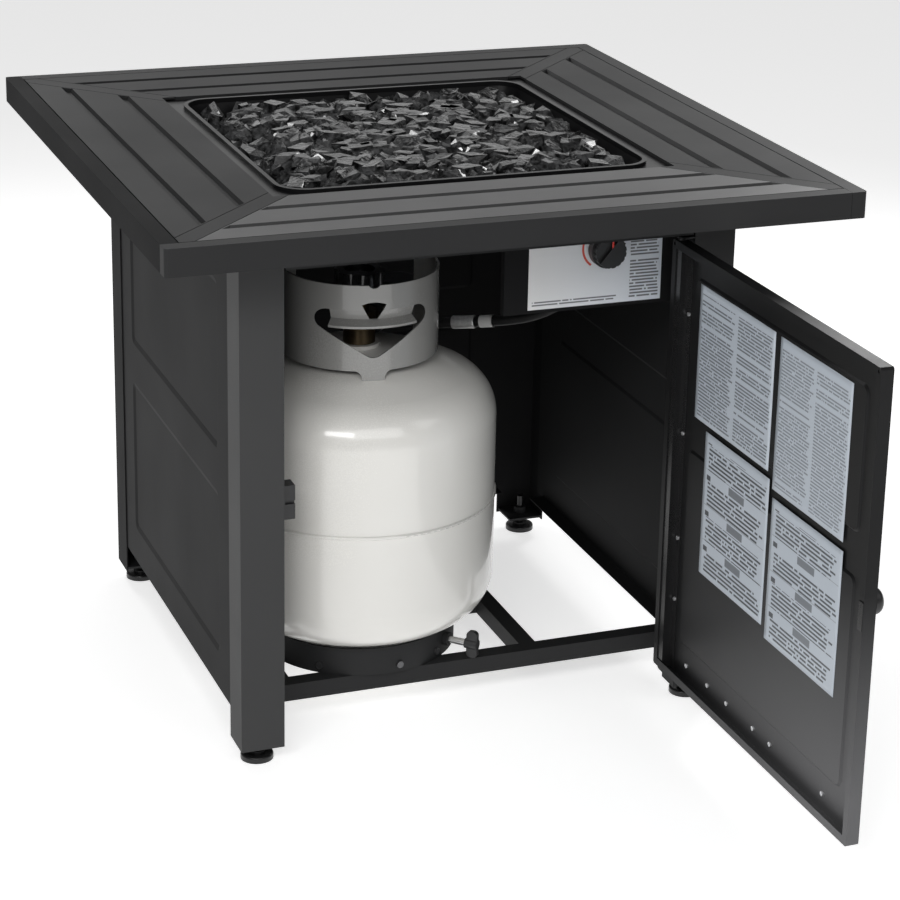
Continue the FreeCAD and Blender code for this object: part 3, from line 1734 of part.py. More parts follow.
def make_hinge_brackets():
    """Two brackets on the post, each with the pin that the door turns on."""
    t = bracket_thickness
    post_edge = post_x - post_front_leg
    lower_top = door_bottom - bush_thickness - bracket_gap
    upper_bottom = door_top + bush_thickness + bracket_gap
    brackets = []
    for plate_low, pin_low, pin_high, leg_low in (
        (lower_top - t, lower_top - t, door_bottom + hinge_pin_entry, lower_top - bracket_leg),
        (upper_bottom, door_top - hinge_pin_entry, upper_bottom + t, upper_bottom),
    ):
        arm = box(
            hinge_x, post_edge, hinge_y - bush_radius, hinge_y + bracket_arm_depth, plate_low, plate_low + t
        )
        nose = rod(V(hinge_x, hinge_y, plate_low), UP, bush_radius, t)
        leg_y = hinge_y + bracket_leg_from_pin
        leg = box(post_edge - t, post_edge, leg_y, leg_y + bracket_leg_depth, leg_low, leg_low + bracket_leg)
        pin = rod(V(hinge_x, hinge_y, pin_low), UP, hinge_pin_radius, pin_high - pin_low)
        brackets.append(fused([arm, nose, leg, pin]))
    return Part.makeCompound(brackets)


def make_door_knob():
    """Turned pull knob on the door's outer face."""
    x = -door_edge + door_knob_from_edge
    face = closed_door_face
    base = V(x, face, door_knob_height)
    outward = ALONG_Y * -1
    neck = rod(base, outward, door_knob_neck_radius, door_knob_reach - door_knob_head + overrun)
    head = rod(base + outward * (door_knob_reach - door_knob_head), outward, door_knob_radius, door_knob_head)
    front_y = base.y - door_knob_reach + overrun
    front_edges = [edge for edge in head.Edges if edge.Closed and edge.CenterOfMass.y < front_y]
    head = head.makeFillet(door_knob_rounding, front_edges)
    return fused([neck, head])


def make_door_screws():
    """Rivets on the stiffener and screws along the foot of the door's inner face."""
    heads = []
    strip_x = door_edge - door_sheet - stiffener_inset - stiffener_width - stiffener_lip / 2
    strip_y = closed_door_face + door_sheet + stiffener_sheet
    for share in stiffener_rivet_shares:
        heads.append(
            rod(V(strip_x, strip_y, door_bottom + share * door_height), ALONG_Y, rivet_radius, rivet_height)
        )
    inner_face = closed_door_face + door_sheet
    for from_hinge in foot_screws_from_hinge:
        spot = V(door_edge - from_hinge, inner_face, door_bottom + foot_screws_above_edge)
        heads.append(rod(spot, ALONG_Y, foot_screw_radius, foot_screw_height))
    return Part.makeCompound(heads)


def make_door_sheets():
    """Four blank printed-paper sheets stuck to the door's inner face."""
    face = closed_door_face + door_sheet + door_field_depth
    sheets = []
    for from_hinge, width, top_gap, height in paper_places:
        x1 = door_edge - from_hinge
        high = door_top - top_gap
        sheets.append(box(x1 - width, x1, face, face + sheet_thickness, high - height, high))
    return Part.makeCompound(sheets)


def closed_door_back():
    """Inner plane of the closed door."""
    return closed_door_face + door_flange


def make_catch():
    """Magnet in its housing on the left front post."""
    x0 = -post_x + post_front_leg
    y0 = closed_door_back() + catch_gap + strike_thickness
    body = box(x0, x0 + catch_width, y0, y0 + catch_depth, catch_bottom, catch_bottom + catch_height)
    slot_bottom = catch_bottom + (catch_height - catch_slot_height) / 2
    slot = box(
        x0 + catch_slot_from_side,
        x0 + catch_width + overrun,
        y0 - overrun,
        y0 + catch_slot_depth,
        slot_bottom,
        slot_bottom + catch_slot_height,
    )
    return body.cut(slot)


def make_strike():
    """Steel plate on the door's return that the magnet holds."""
    x0 = -door_edge
    y0 = closed_door_back()
    middle = catch_bottom + catch_height / 2
    return box(
        x0 + strike_edge_gap,
        x0 + door_return - strike_edge_gap,
        y0,
        y0 + strike_thickness,
        middle - strike_height / 2,
        middle + strike_height / 2,
    )


def export_all():
    """Make every piece and write it."""
    rim = make_rim_rail()
    panel = make_top_panel()
    for count, side in enumerate(("front", "right", "rear", "left")):
        save("rim_rail_" + side, quarter_turns(rim, count))
        save("top_panel_" + side, quarter_turns(panel, count))
    strip = make_corner_strip()
    save("corner_strips", Part.makeCompound([quarter_turns(strip, count) for count in range(4)]))
    save("top_beams", make_beams())
    front_post = make_post(True)
    rear_post = make_post(False)
    save("post_front_left", front_post)
    save("post_front_right", front_post.mirror(ORIGIN, ALONG_X))
    save("post_rear_left", rear_post.mirror(ORIGIN, ALONG_Y))
    save("post_rear_right", rear_post.mirror(ORIGIN, ALONG_Y).mirror(ORIGIN, ALONG_X))
    cabinet_panel = make_cabinet_panel()
    save("side_panel_right", quarter_turns(cabinet_panel, 1))
    save("rear_panel", quarter_turns(cabinet_panel, 2))
    save("side_panel_left", quarter_turns(cabinet_panel, 3))
    save("door_header", make_header())
    save("foot_plates", make_foot_plates())
    for name, side_x, side_y in (
        ("foot_front_left", -1, -1),
        ("foot_front_right", 1, -1),
        ("foot_rear_left", -1, 1),
        ("foot_rear_right", 1, 1),
    ):
        save(name, make_foot(side_x, side_y))
    save("base_rails", make_base_rails())
    save("tank_holder_ring", make_holder_ring())
    save("holder_screws", make_holder_screws())
    save("retainer_stud", make_retainer_stud())
    save("retainer_wing", make_wing_knob())
    save("tank_shell", make_tank_shell())
    save("tank_foot_ring", make_foot_ring())
    save("tank_collar", make_collar())
    save("tank_valve", make_tank_valve())
    save("float_arm", make_float())
    save("handwheel", make_handwheel())
    save("coupling_nut", make_coupling_nut())
    save("regulator", make_regulator())
    save("hose_ferrules", make_ferrules())
    save("gas_hose", make_hose())
    save("hose_tag", make_tag())
    save("control_panel", make_control_panel())
    save("control_card", make_control_card())
    save("control_knob", make_control_knob())
    save("valve_stem", make_valve_stem())
    save("gas_valve", make_gas_valve())
    save("fire_bowl", make_bowl())
    save("burner", make_burner())
    save("burner_mixer", make_mixer())
    save("gas_tube", make_gas_tube())
    save("spark_electrode", make_electrode())
    save("heat_shield", make_shield())
    save("fire_glass", make_glass())
    save("door_panel", opened(make_door_panel()))
    save("door_stiffener", opened(make_stiffener()))
    save("hinge_bushes", opened(make_hinge_bushes()))
    save("hinge_brackets", make_hinge_brackets())
    save("door_knob", opened(make_door_knob()))
    save("door_screws", opened(make_door_screws()))
    save("door_sheets", opened(make_door_sheets()))
    save("catch_magnet", make_catch())
    save("catch_strike", opened(make_strike()))


export_all()
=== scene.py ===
# %% [markdown]
# # Dressing a fire pit table in Blender
# The table was drawn as a set of metal solids, and they come in here as a fixed frame. This lesson
# gives every one of them a finish, and models what solids can't show: the crushed glass in the bowl,
# the rubber hose, the printed papers and the red mark of the knob.
# The frame comes first, because all later pieces ride on its bodies and sit where its nodes are.

# %% Load the frame
import math

import bpy
import numpy as np
from mathutils import Matrix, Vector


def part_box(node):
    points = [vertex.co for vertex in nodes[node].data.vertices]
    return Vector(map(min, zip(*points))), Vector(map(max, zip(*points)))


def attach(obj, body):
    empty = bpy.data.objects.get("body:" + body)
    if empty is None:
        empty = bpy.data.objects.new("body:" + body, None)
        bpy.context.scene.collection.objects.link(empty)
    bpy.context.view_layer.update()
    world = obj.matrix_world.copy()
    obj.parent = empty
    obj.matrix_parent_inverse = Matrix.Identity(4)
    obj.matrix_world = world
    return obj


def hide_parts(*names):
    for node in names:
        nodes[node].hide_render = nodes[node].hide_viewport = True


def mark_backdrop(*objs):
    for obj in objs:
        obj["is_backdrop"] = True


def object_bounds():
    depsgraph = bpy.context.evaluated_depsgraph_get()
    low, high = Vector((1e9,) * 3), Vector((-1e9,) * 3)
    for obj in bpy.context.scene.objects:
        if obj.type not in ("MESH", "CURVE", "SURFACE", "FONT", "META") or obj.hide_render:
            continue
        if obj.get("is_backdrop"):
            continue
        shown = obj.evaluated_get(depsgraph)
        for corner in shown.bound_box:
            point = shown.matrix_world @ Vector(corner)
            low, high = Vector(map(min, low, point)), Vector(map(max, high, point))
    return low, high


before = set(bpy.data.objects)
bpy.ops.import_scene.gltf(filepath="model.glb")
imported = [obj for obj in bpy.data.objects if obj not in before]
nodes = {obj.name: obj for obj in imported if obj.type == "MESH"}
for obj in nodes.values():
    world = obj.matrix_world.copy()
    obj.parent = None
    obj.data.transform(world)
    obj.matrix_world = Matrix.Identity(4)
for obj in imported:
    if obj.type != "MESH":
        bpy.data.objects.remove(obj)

solid_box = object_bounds()

# %% [markdown]
# The table was drawn about its own middle, but the frame's middle is further forward because of the
# open door. The offset could be typed in, but measuring it keeps the lesson right if the door moves:
# the rim rails lie evenly round the table, so the middle of their boxes is the table's.

# %% Find the middle of the table
MM = 0.001
front_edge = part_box("rim_rail_front")[0].y
rear_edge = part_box("rim_rail_rear")[1].y
table_middle = np.array([0.0, (front_edge + rear_edge) / 2, 0.0])
print("table middle, mm:", (table_middle / MM).round(2))


def from_table(points_mm):
    """Points in metres: millimetres from the table's middle on the floor, moved to the frame."""
    return np.asarray(points_mm, float) * MM + table_middle


# %% [markdown]
# The camera looks down on the front left corner. Its place was solved from edges and circles of known
# size in the photograph: heading, height, roll, distance and the point that it looks at. Turning it by
# eye would take many tries and never quite agree. The shift keeps upright lines nearly upright, as the
# photographer's lens did.

# %% Set up the camera
CAMERA_HEADING = math.radians(-22.23)
CAMERA_RISE = math.radians(18.63)
CAMERA_ROLL = math.radians(1.65)
CAMERA_DISTANCE = 3.14575
CAMERA_TARGET = from_table((144.47, 0.0, 343.23))
CAMERA_REACH = 50.0
FOCAL_PIXELS = 2654.32
PHOTO_SIDE = 900
PHOTO_MIDDLE = (520.0, 350.0)
SENSOR_WIDTH = 36.0

back = np.array([
    math.sin(CAMERA_HEADING) * math.cos(CAMERA_RISE),
    -math.cos(CAMERA_HEADING) * math.cos(CAMERA_RISE),
    math.sin(CAMERA_RISE),
])
level_right = np.cross(-back, (0.0, 0.0, 1.0))
level_right /= np.linalg.norm(level_right)
level_up = np.cross(level_right, -back)
right = math.cos(CAMERA_ROLL) * level_right + math.sin(CAMERA_ROLL) * level_up
up = math.cos(CAMERA_ROLL) * level_up - math.sin(CAMERA_ROLL) * level_right


def placed(sideways, upward, backward, spot):
    """The matrix of an object with these three axes at this spot; it looks against `backward`."""
    matrix = np.eye(4)
    matrix[:3] = np.column_stack([sideways, upward, backward, spot])
    return Matrix(matrix.tolist())


camera = bpy.data.objects.new("camera", bpy.data.cameras.new("camera"))
camera.data.sensor_width = SENSOR_WIDTH
camera.data.lens = FOCAL_PIXELS / PHOTO_SIDE * SENSOR_WIDTH
camera.data.shift_x = (PHOTO_SIDE / 2 - PHOTO_MIDDLE[0]) / PHOTO_SIDE
camera.data.shift_y = (PHOTO_MIDDLE[1] - PHOTO_SIDE / 2) / PHOTO_SIDE
camera.data.clip_end = CAMERA_REACH
bpy.context.scene.collection.objects.link(camera)
camera.matrix_world = placed(right, up, back, CAMERA_TARGET + back * CAMERA_DISTANCE)
bpy.context.scene.camera = camera
print("lens, mm:", round(camera.data.lens, 1))

# %% [markdown]
# A grid of points is the base of most new pieces: a formula gives each point from two parameters,
# numpy works out all of them at once, and neighbours in the grid become four-sided faces. The same
# grid also gives the texture coordinates, so that a print can follow its sheet. Stretching ready-made
# cubes and cylinders would be quicker, but they can't follow a formula.

# %% Make a mesh from a grid of points


def add_piece(name, points, faces, smooth=True):
    """An object at the origin whose mesh has these points and faces."""
    mesh = bpy.data.meshes.new(name)
    mesh.from_pydata(np.asarray(points, float).reshape(-1, 3).tolist(), [], faces)
    mesh.polygons.foreach_set("use_smooth", np.full(len(mesh.polygons), smooth))
    mesh.update()
    piece = bpy.data.objects.new(name, mesh)
    bpy.context.scene.collection.objects.link(piece)
    return piece


def grid_faces(rows, columns, wrap=False):
    """Four-sided faces of a grid numbered row by row: (i, j), (i, j + 1), (i + 1, j + 1), (i + 1, j)."""
    number = np.arange(rows * columns).reshape(rows, columns)
    if wrap:
        number = np.hstack([number, number[:, :1]])
    corners = [number[:-1, :-1], number[:-1, 1:], number[1:, 1:], number[1:, :-1]]
    return np.stack(corners, axis=-1).reshape(-1, 4).tolist()


def print_coordinates(piece, across, along):
    """A texture map that gives each corner of each face the two parameters of its point."""
    layer = piece.data.uv_layers.new(name="print")
    corner_points = np.zeros(len(piece.data.loops), int)
    piece.data.loops.foreach_get("vertex_index", corner_points)
    pairs = np.column_stack([across.ravel(), along.ravel()])
    layer.data.foreach_set("uv", pairs[corner_points].ravel().astype(np.float32))


def thicken(piece, thickness):
    """Give a sheet its thickness, behind the drawn surface."""
    wall = piece.modifiers.new("thickness", "SOLIDIFY")
    wall.thickness = thickness
    wall.offset = -1.0
    return piece


print("faces of a grid of 3 by 4 points:", grid_faces(3, 4))

# %% [markdown]
# A finish is a small program of nodes. Placing and linking them one by one would fill pages. Written
# as arithmetic it stays readable, so one class wraps a node's output and turns +, -, * and / into Math
# nodes. All other nodes come from its `make` method.

# %% Write shader maths as arithmetic


class Signal:
    """The output of a node, which can be used like a number."""

    def __init__(self, tree, output=None):
        self.tree = tree
        self.output = output

    def make(self, kind, settings=None, values=None, take=0):
        """Add a node of a kind, set it up, then fill or link its inputs; returns one of its outputs."""
        node = self.tree.nodes.new(kind)
        for name, value in (settings or {}).items():
            setattr(node, name, value)
        for name, value in (values or {}).items():
            if isinstance(value, Signal):
                self.tree.links.new(value.output, node.inputs[name])
            else:
                node.inputs[name].default_value = value
        if isinstance(take, tuple):
            return [Signal(self.tree, node.outputs[name]) for name in take]
        return Signal(self.tree, node.outputs[take])

    def maths(self, operation, *numbers):
        """A Math node on some numbers or signals."""
        return self.make("ShaderNodeMath", {"operation": operation}, dict(enumerate(numbers)))

    def __add__(self, other):
        return self.maths("ADD", self, other)

    def __radd__(self, other):
        return self.maths("ADD", other, self)

    def __sub__(self, other):
        return self.maths("SUBTRACT", self, other)

    def __rsub__(self, other):
        return self.maths("SUBTRACT", other, self)

    def __mul__(self, other):
        return self.maths("MULTIPLY", self, other)

    def __rmul__(self, other):
        return self.maths("MULTIPLY", other, self)

    def __truediv__(self, other):
        return self.maths("DIVIDE", self, other)

    def __gt__(self, other):
        return self.maths("GREATER_THAN", self, other)

    def __lt__(self, other):
        return self.maths("LESS_THAN", self, other)

    def at_least(self, other):
        return self.maths("MAXIMUM", self, other)

    def at_most(self, other):
        return self.maths("MINIMUM", self, other)

    def floor(self):
        return self.maths("FLOOR", self)

    def fraction(self):
        return self.maths("FRACT", self)

    def between(self, low, high):
        """1 where the signal lies between two numbers, and 0 elsewhere."""
        return (self > low) * (self < high)


# %% [markdown]
# Every finish starts from the same parts: a Principled shader, the place of the point in metres, and
# soft noise at a scale that suits the material. `mix_colours` blends two colours by a mask, and
# `relief` turns a height into a bent normal. Numbers that are the same all over stay on the shader's
# own sockets, so that they can be read there.

# %% Parts that all finishes share


def new_finish(name, roughness=0.5, metallic=0.0, coat=0.0, coat_roughness=0.03, ior=1.5):
    """A material, its shader and a signal to build from; the numbers are the same all over."""
    material = bpy.data.materials.new(name)
    material.use_nodes = True
    shader = material.node_tree.nodes["Principled BSDF"]
    shader.inputs["Roughness"].default_value = roughness
    shader.inputs["Metallic"].default_value = metallic
    shader.inputs["Coat Weight"].default_value = coat
    shader.inputs["Coat Roughness"].default_value = coat_roughness
    shader.inputs["IOR"].default_value = ior
    return material, shader, Signal(material.node_tree)


def feed(shader, **signals):
    """Link signals to the shader's inputs; an underscore stands for a space."""
    for name, signal in signals.items():
        signal.tree.links.new(signal.output, shader.inputs[name.replace("_", " ")])


def place(here):
    """The point's place in the frame, in metres."""
    return here.make("ShaderNodeTexCoord", take="Object")


def parts(here, vector, names):
    """The named numbers X, Y or Z of a vector, as signals."""
    return here.make("ShaderNodeSeparateXYZ", None, {0: vector}, take=tuple(names))


def noise(here, where, per_metre, detail=2.0):
    """Soft noise from 0 to 1, with this many waves a metre."""
    return here.make("ShaderNodeTexNoise", None, {"Vector": where, "Scale": per_metre, "Detail": detail})


def mix_colours(here, mask, first, second):
    """The first colour where the mask is 0, the second where it is 1."""
    values = {0: mask, 6: first, 7: second}
    for key in (6, 7):
        if not isinstance(values[key], Signal):
            values[key] = (*values[key], 1.0)
    return here.make("ShaderNodeMix", {"data_type": "RGBA"}, values, take=2)


def relief(here, height, depth_mm, strength=1.0):
    """Normals bent by a height from 0 to 1 that stands for this many millimetres."""
    values = {"Height": height, "Distance": depth_mm * MM, "Strength": strength}
    return here.make("ShaderNodeBump", None, values)


# %% [markdown]
# The steel sheet is powder coated: a baked powder that keeps a fine orange peel, duller than paint,
# with faint patchy changes of gloss where it was touched and wiped. A scanned picture of a coat would
# repeat and go soft close up, so noise does it: fine noise bends the normals, and wide noise moves the
# gloss and the grey a little. The coat isn't the same everywhere: dull inside the cabinet, glossier
# on the feet, and on the inside of the door paler toward its foot and its free edge, as the
# photograph shows it. That paler grey on the door is a painted reflection of the pale floor. Some
# parts take darker copies of the coat, which are painted shade, and some take paler ones, which are
# painted light.

# %% Powder coat
# Where the painted reflection of the floor lies on the open door: below a height, beyond a reach, over a
# spread.
PAINTED_REFLECTION_BELOW = 0.32
PAINTED_REFLECTION_BEYOND = -0.13
PAINTED_REFLECTION_SPREAD = 0.38

# Each coat: its dark and its light grey, roughness, index of refraction.
COATS = {
    "powder_coat": ((0.019, 0.0192, 0.0198), (0.026, 0.0262, 0.027), 0.58, 1.26),
    # bowl_enamel: darker than the coat, painted shade in the bowl and on its sunken flange.
    "bowl_enamel": ((0.006, 0.006, 0.0065), (0.009, 0.009, 0.0095), 0.36, 1.2),
    # inside_coat: a darker copy of the coat, painted shade inside the cabinet.
    "inside_coat": ((0.009, 0.009, 0.0095), (0.013, 0.013, 0.0135), 0.66, 1.18),
    # door_coat: its light grey shows only where the painted reflection of the floor reaches.
    "door_coat": ((0.006, 0.0061, 0.0065), (0.125, 0.125, 0.129), 0.42, 1.26),
    # side_coat: a darker copy of the coat, painted shade on the side panels.
    "side_coat": ((0.012, 0.0121, 0.0125), (0.017, 0.0171, 0.0178), 0.64, 1.2),
    # top_front_coat: a paler copy of the coat, painted light on the front top panel.
    "top_front_coat": ((0.030, 0.0302, 0.0308), (0.039, 0.0392, 0.040), 0.44, 1.40),
    "glossy_coat": ((0.010, 0.010, 0.0105), (0.014, 0.014, 0.0145), 0.28, 1.45),
    # rim_coat: a darker copy of the coat, painted shade on the left rim rail.
    "rim_coat": ((0.006, 0.0061, 0.0065), (0.009, 0.0091, 0.0096), 0.66, 1.16),
    # front_coat: a paler copy of the coat, painted light on the front left post.
    "front_coat": ((0.040, 0.0403, 0.041), (0.050, 0.0503, 0.051), 0.56, 1.3),
}


def painted_floor_reflection(here, where):
    """Painted reflection of the floor: two ramps multiplied, down from a height and out along the open
    door.
    """
    reach, height = parts(here, where, "YZ")
    low = (PAINTED_REFLECTION_BELOW - height) / PAINTED_REFLECTION_BELOW
    outer = (reach - PAINTED_REFLECTION_BEYOND) / -PAINTED_REFLECTION_SPREAD
    return low.at_least(0.0) * outer.at_least(0.0)


def powder_coat(name, dark, light, roughness, ior):
    """Black coat whose grey goes from dark to light with wide noise; on the door also by a painted
    reflection.
    """
    material, shader, here = new_finish(name, ior=ior)
    where = place(here)
    clouds = noise(here, where, 7.0, 4.0)
    grain = noise(here, where, 1500.0, 2.0)
    peel = noise(here, where, 260.0, 1.0)
    clouds_and_painted_reflection = clouds
    if name == "door_coat":
        # On the door the grey also grows with a painted reflection of the pale floor.
        clouds_and_painted_reflection = clouds * 0.06 + painted_floor_reflection(here, where) * 1.25
    feed(
        shader,
        Base_Color=mix_colours(here, clouds_and_painted_reflection, dark, light),
        Roughness=roughness + (clouds - 0.5) * 0.16 + (grain - 0.5) * 0.08,
        Normal=relief(here, grain * 0.5 + peel * 0.5, 0.05, 0.5),
    )
    return material


finishes = {name: powder_coat(name, *numbers) for name, numbers in COATS.items()}
print("coats:", list(COATS))

# %% [markdown]
# Moulded parts are black plastic: the knobs, the coupling nut, the hand wheel and the float. Plastic
# has an even, slightly waxy surface with a fine moulded texture, so it gets small noise only. The
# same recipe with other numbers serves the ceramic of the spark electrode, the vinyl of the hose's
# tag and the paint of the red mark, which saves three more recipes that would say the same.

# %% Moulded plastic
# Each plastic: its colour, its roughness, and how much paler its scuffs are.
PLASTICS = {
    "black_plastic": ((0.012, 0.012, 0.013), 0.4, 0.5),
    "gloss_black": ((0.012, 0.012, 0.013), 0.08, 0.3),
    "float_plastic": ((0.030, 0.032, 0.036), 0.5, 0.3),
    "spark_ceramic": ((0.72, 0.69, 0.62), 0.25, 0.05),
    "red_paint": ((0.62, 0.03, 0.02), 0.35, 0.1),
    "tag_vinyl": ((0.50, 0.50, 0.49), 0.3, 0.1),
}


def moulded_plastic(name, colour, roughness, scuff):
    """Plastic of one colour, a little lighter where wide noise is high, with a fine spark texture."""
    material, shader, here = new_finish(name)
    where = place(here)
    wide = noise(here, where, 40.0, 3.0)
    fine = noise(here, where, 2200.0, 1.0)
    lighter = tuple(channel * (1.0 + scuff) + 0.004 for channel in colour)
    feed(
        shader,
        Base_Color=mix_colours(here, wide, colour, lighter),
        Roughness=roughness + (wide - 0.5) * 0.14,
        Normal=relief(here, fine, 0.03, 0.5),
    )
    return material


finishes.update({name: moulded_plastic(name, *numbers) for name, numbers in PLASTICS.items()})
print("plastics:", list(PLASTICS))

# %% [markdown]
# Bare metals differ in colour and in the marks of how they were made. Zinc plate is slightly blue
# with pale blotches, turned brass has a fine grain, cast zinc is dull and coarse, and stainless steel
# near the flame goes straw coloured. Two noises and two colours tell them apart. The crimped sleeves
# of the hose get a deep grain in place of modelled crimps, because they are smaller than a fingertip.

# %% Bare metals
# Each metal: two colours, roughness, blotches a metre, depth of the grain in millimetres.
METALS = {
    "zinc_steel": ((0.56, 0.57, 0.60), (0.68, 0.67, 0.64), 0.32, 90.0, 0.03),
    # Brass much darker than bare brass: partly tarnish, partly painted shade inside the collar.
    "brass": ((0.10, 0.072, 0.042), (0.15, 0.115, 0.07), 0.42, 120.0, 0.03),
    "grey_zinc": ((0.06, 0.06, 0.062), (0.10, 0.10, 0.10), 0.5, 140.0, 0.08),
    "stainless": ((0.55, 0.53, 0.50), (0.60, 0.50, 0.36), 0.3, 30.0, 0.02),
    "dark_zinc": ((0.10, 0.10, 0.105), (0.20, 0.20, 0.205), 0.42, 160.0, 0.05),
    "pale_zinc": ((0.86, 0.87, 0.90), (0.96, 0.96, 0.96), 0.5, 160.0, 0.05),
    "crimped_zinc": ((0.55, 0.55, 0.55), (1.0, 1.0, 0.99), 0.5, 320.0, 0.6),
}


def bare_metal(name, first, second, roughness, blotch, grain_depth):
    """Metal whose colour goes between two by wide noise; finer noise roughens it."""
    material, shader, here = new_finish(name, metallic=1.0)
    where = place(here)
    wide = noise(here, where, blotch, 3.0)
    fine = noise(here, where, 1200.0, 2.0)
    feed(
        shader,
        Base_Color=mix_colours(here, wide, first, second),
        Roughness=roughness + (wide - 0.5) * 0.2 + (fine - 0.5) * 0.1,
        Normal=relief(here, fine, grain_depth, 0.6),
    )
    return material


finishes.update({name: bare_metal(name, *numbers) for name, numbers in METALS.items()})
print("metals:", list(METALS))

# %% [markdown]
# Galvanised sheet shows spangle: flat crystals of zinc a few millimetres wide, each turned its own
# way. Soft noise has no such edges. A Voronoi pattern has cells with edges, and its cell colour
# shifts both grey and gloss.

# %% Galvanised sheet
CRYSTALS_A_METRE = 150.0


def galvanised_sheet():
    """Zinc crystals: each Voronoi cell has its own grey and gloss."""
    material, shader, here = new_finish("galvanised", metallic=1.0)
    values = {"Vector": place(here), "Scale": CRYSTALS_A_METRE}
    cells = here.make("ShaderNodeTexVoronoi", None, values, take="Color")
    level = here.make("ShaderNodeSeparateColor", None, {0: cells})
    feed(
        shader,
        Base_Color=mix_colours(here, level, (0.42, 0.43, 0.45), (0.62, 0.63, 0.65)),
        Roughness=0.32 + level * 0.2,
        Normal=relief(here, level, 0.02, 0.4),
    )
    return material


finishes["galvanised"] = galvanised_sheet()
print("crystal width, mm:", round(1 / CRYSTALS_A_METRE / MM, 1))

# %% [markdown]
# The gas cylinder is steel under thick warm-white paint. The paint is glossy with a soft orange peel,
# so a clear coat lies over a duller base, and wide noise leaves faint grime. The girth weld needs
# nothing here, because it is already a ridge of the solid. The collar looks much darker than the
# shell in the photograph, where it stands in the shadow of the top, so it gets the same recipe with
# a dark grey colour: painted shade.

# %% Cylinder paint


def cylinder_paint(name, colour, shade):
    """Gloss paint: orange peel of about 8 mm, a little grime in wide patches."""
    material, shader, here = new_finish(name, coat=0.7, coat_roughness=0.04)
    where = place(here)
    grime = noise(here, where, 5.0, 5.0)
    peel = noise(here, where, 120.0, 1.0)
    specks = noise(here, where, 700.0, 2.0)
    feed(
        shader,
        Base_Color=mix_colours(here, (grime - 0.45) * 1.6, colour, shade),
        Roughness=0.26 + (grime - 0.5) * 0.12 + (specks - 0.5) * 0.05,
        Normal=relief(here, peel * 0.8 + specks * 0.2, 0.12, 0.35),
    )
    return material


finishes["white_paint"] = cylinder_paint("white_paint", (0.80, 0.79, 0.755), (0.74, 0.725, 0.68))
# The collar's dark grey is painted shade: the table top shadows it.
finishes["collar_paint"] = cylinder_paint("collar_paint", (0.31, 0.308, 0.298), (0.26, 0.256, 0.246))
shell_low, shell_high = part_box("tank_shell")
print("cylinder width, mm:", round((shell_high.x - shell_low.x) / MM, 1))

# %% [markdown]
# The hose is extruded rubber: matt and nearly black, over a woven braid. The braid shows through only
# as a faint unevenness, so fine noise stands for it, and a modelled weave would be too strong.

# %% Rubber of the hose


def hose_rubber():
    """Matt black rubber with fine noise for the braid under it."""
    material, shader, here = new_finish("hose_rubber", ior=1.3)
    where = place(here)
    wide = noise(here, where, 60.0, 2.0)
    braid = noise(here, where, 900.0, 1.0)
    feed(
        shader,
        Base_Color=mix_colours(here, wide, (0.004, 0.004, 0.004), (0.009, 0.009, 0.0095)),
        Roughness=0.45 + (wide - 0.5) * 0.2,
        Normal=relief(here, braid, 0.08, 0.5),
    )
    return material


finishes["hose_rubber"] = hose_rubber()
print("finishes so far:", len(finishes))

# %% [markdown]
# Crushed tempered glass, tinted black, is a heap of hard facets. Each chunk shows a lamp in some of
# its faces and is black in the rest. True see-through glass would render slowly and look the same at
# this tint, so a glossy black does it, with ripples like those of a broken face. The chunks differ a
# little in tint and polish, which an attribute on the mesh gives to the shader, one number a chunk.
# Grey patches from noise in the base colour stand for light seen inside the glass: painted light.

# %% Black fire glass


def black_glass():
    """Glossy near-black glass; the chunk's number sets its tint and polish, and noise paints light inside
    it.
    """
    material, shader, here = new_finish("fire_glass", ior=1.24, coat=0.34, coat_roughness=0.01)
    chunk = here.make("ShaderNodeAttribute", {"attribute_name": "chunk"}, take="Fac")
    where = place(here)
    ripples = noise(here, where, 150.0, 3.0)
    # Noise paints grey patches of light inside the glass over the chunk's own tint.
    inner_light = noise(here, where, 110.0, 6.0)
    tint_and_inner_light = chunk * 0.3 + (inner_light - 0.44) * 3.6
    feed(
        shader,
        Base_Color=mix_colours(here, tint_and_inner_light, (0.005, 0.005, 0.0052), (0.085, 0.086, 0.088)),
        Roughness=0.30 + chunk * 0.30,
        Normal=relief(here, ripples, 5.0, 1.0),
    )
    return material


finishes["fire_glass"] = black_glass()
print("finishes in all:", len(finishes))

# %% [markdown]
# The papers inside the door are stickers with small print. Nothing is lettered here: rows of grey
# bars stand for lines of print, broken into words by a random number a cell. A picture of a page
# would carry real words. A row number and a cell number come from the sheet's own coordinates,
# rounded down.

# %% Printed paper


def random_of(here, first, second):
    """A random number from 0 to 1 for each pair of whole numbers."""
    pair = here.make("ShaderNodeCombineXYZ", None, {0: first, 1: second})
    return here.make("ShaderNodeTexWhiteNoise", {"noise_dimensions": "2D"}, {"Vector": pair})


def bars(here, across, up_the_sheet, columns, rows, seed, cells=46.0, blank_rows=0.08):
    """1 where a bar of print is: row by row, with ragged ends, word gaps and margins between columns."""
    column = (across * columns).floor()
    along = (across * columns).fraction()
    row = (up_the_sheet * rows).floor()
    height = (up_the_sheet * rows).fraction()
    line_end = 0.84 + 0.13 * random_of(here, row + seed, column + 3.0)
    words = random_of(here, (along * cells).floor() + column * 40.0, row + seed) > 0.1
    gap_line = random_of(here, row, column + seed) > blank_rows
    return height.between(0.28, 0.78) * (along > 0.04) * (along < line_end) * words * gap_line


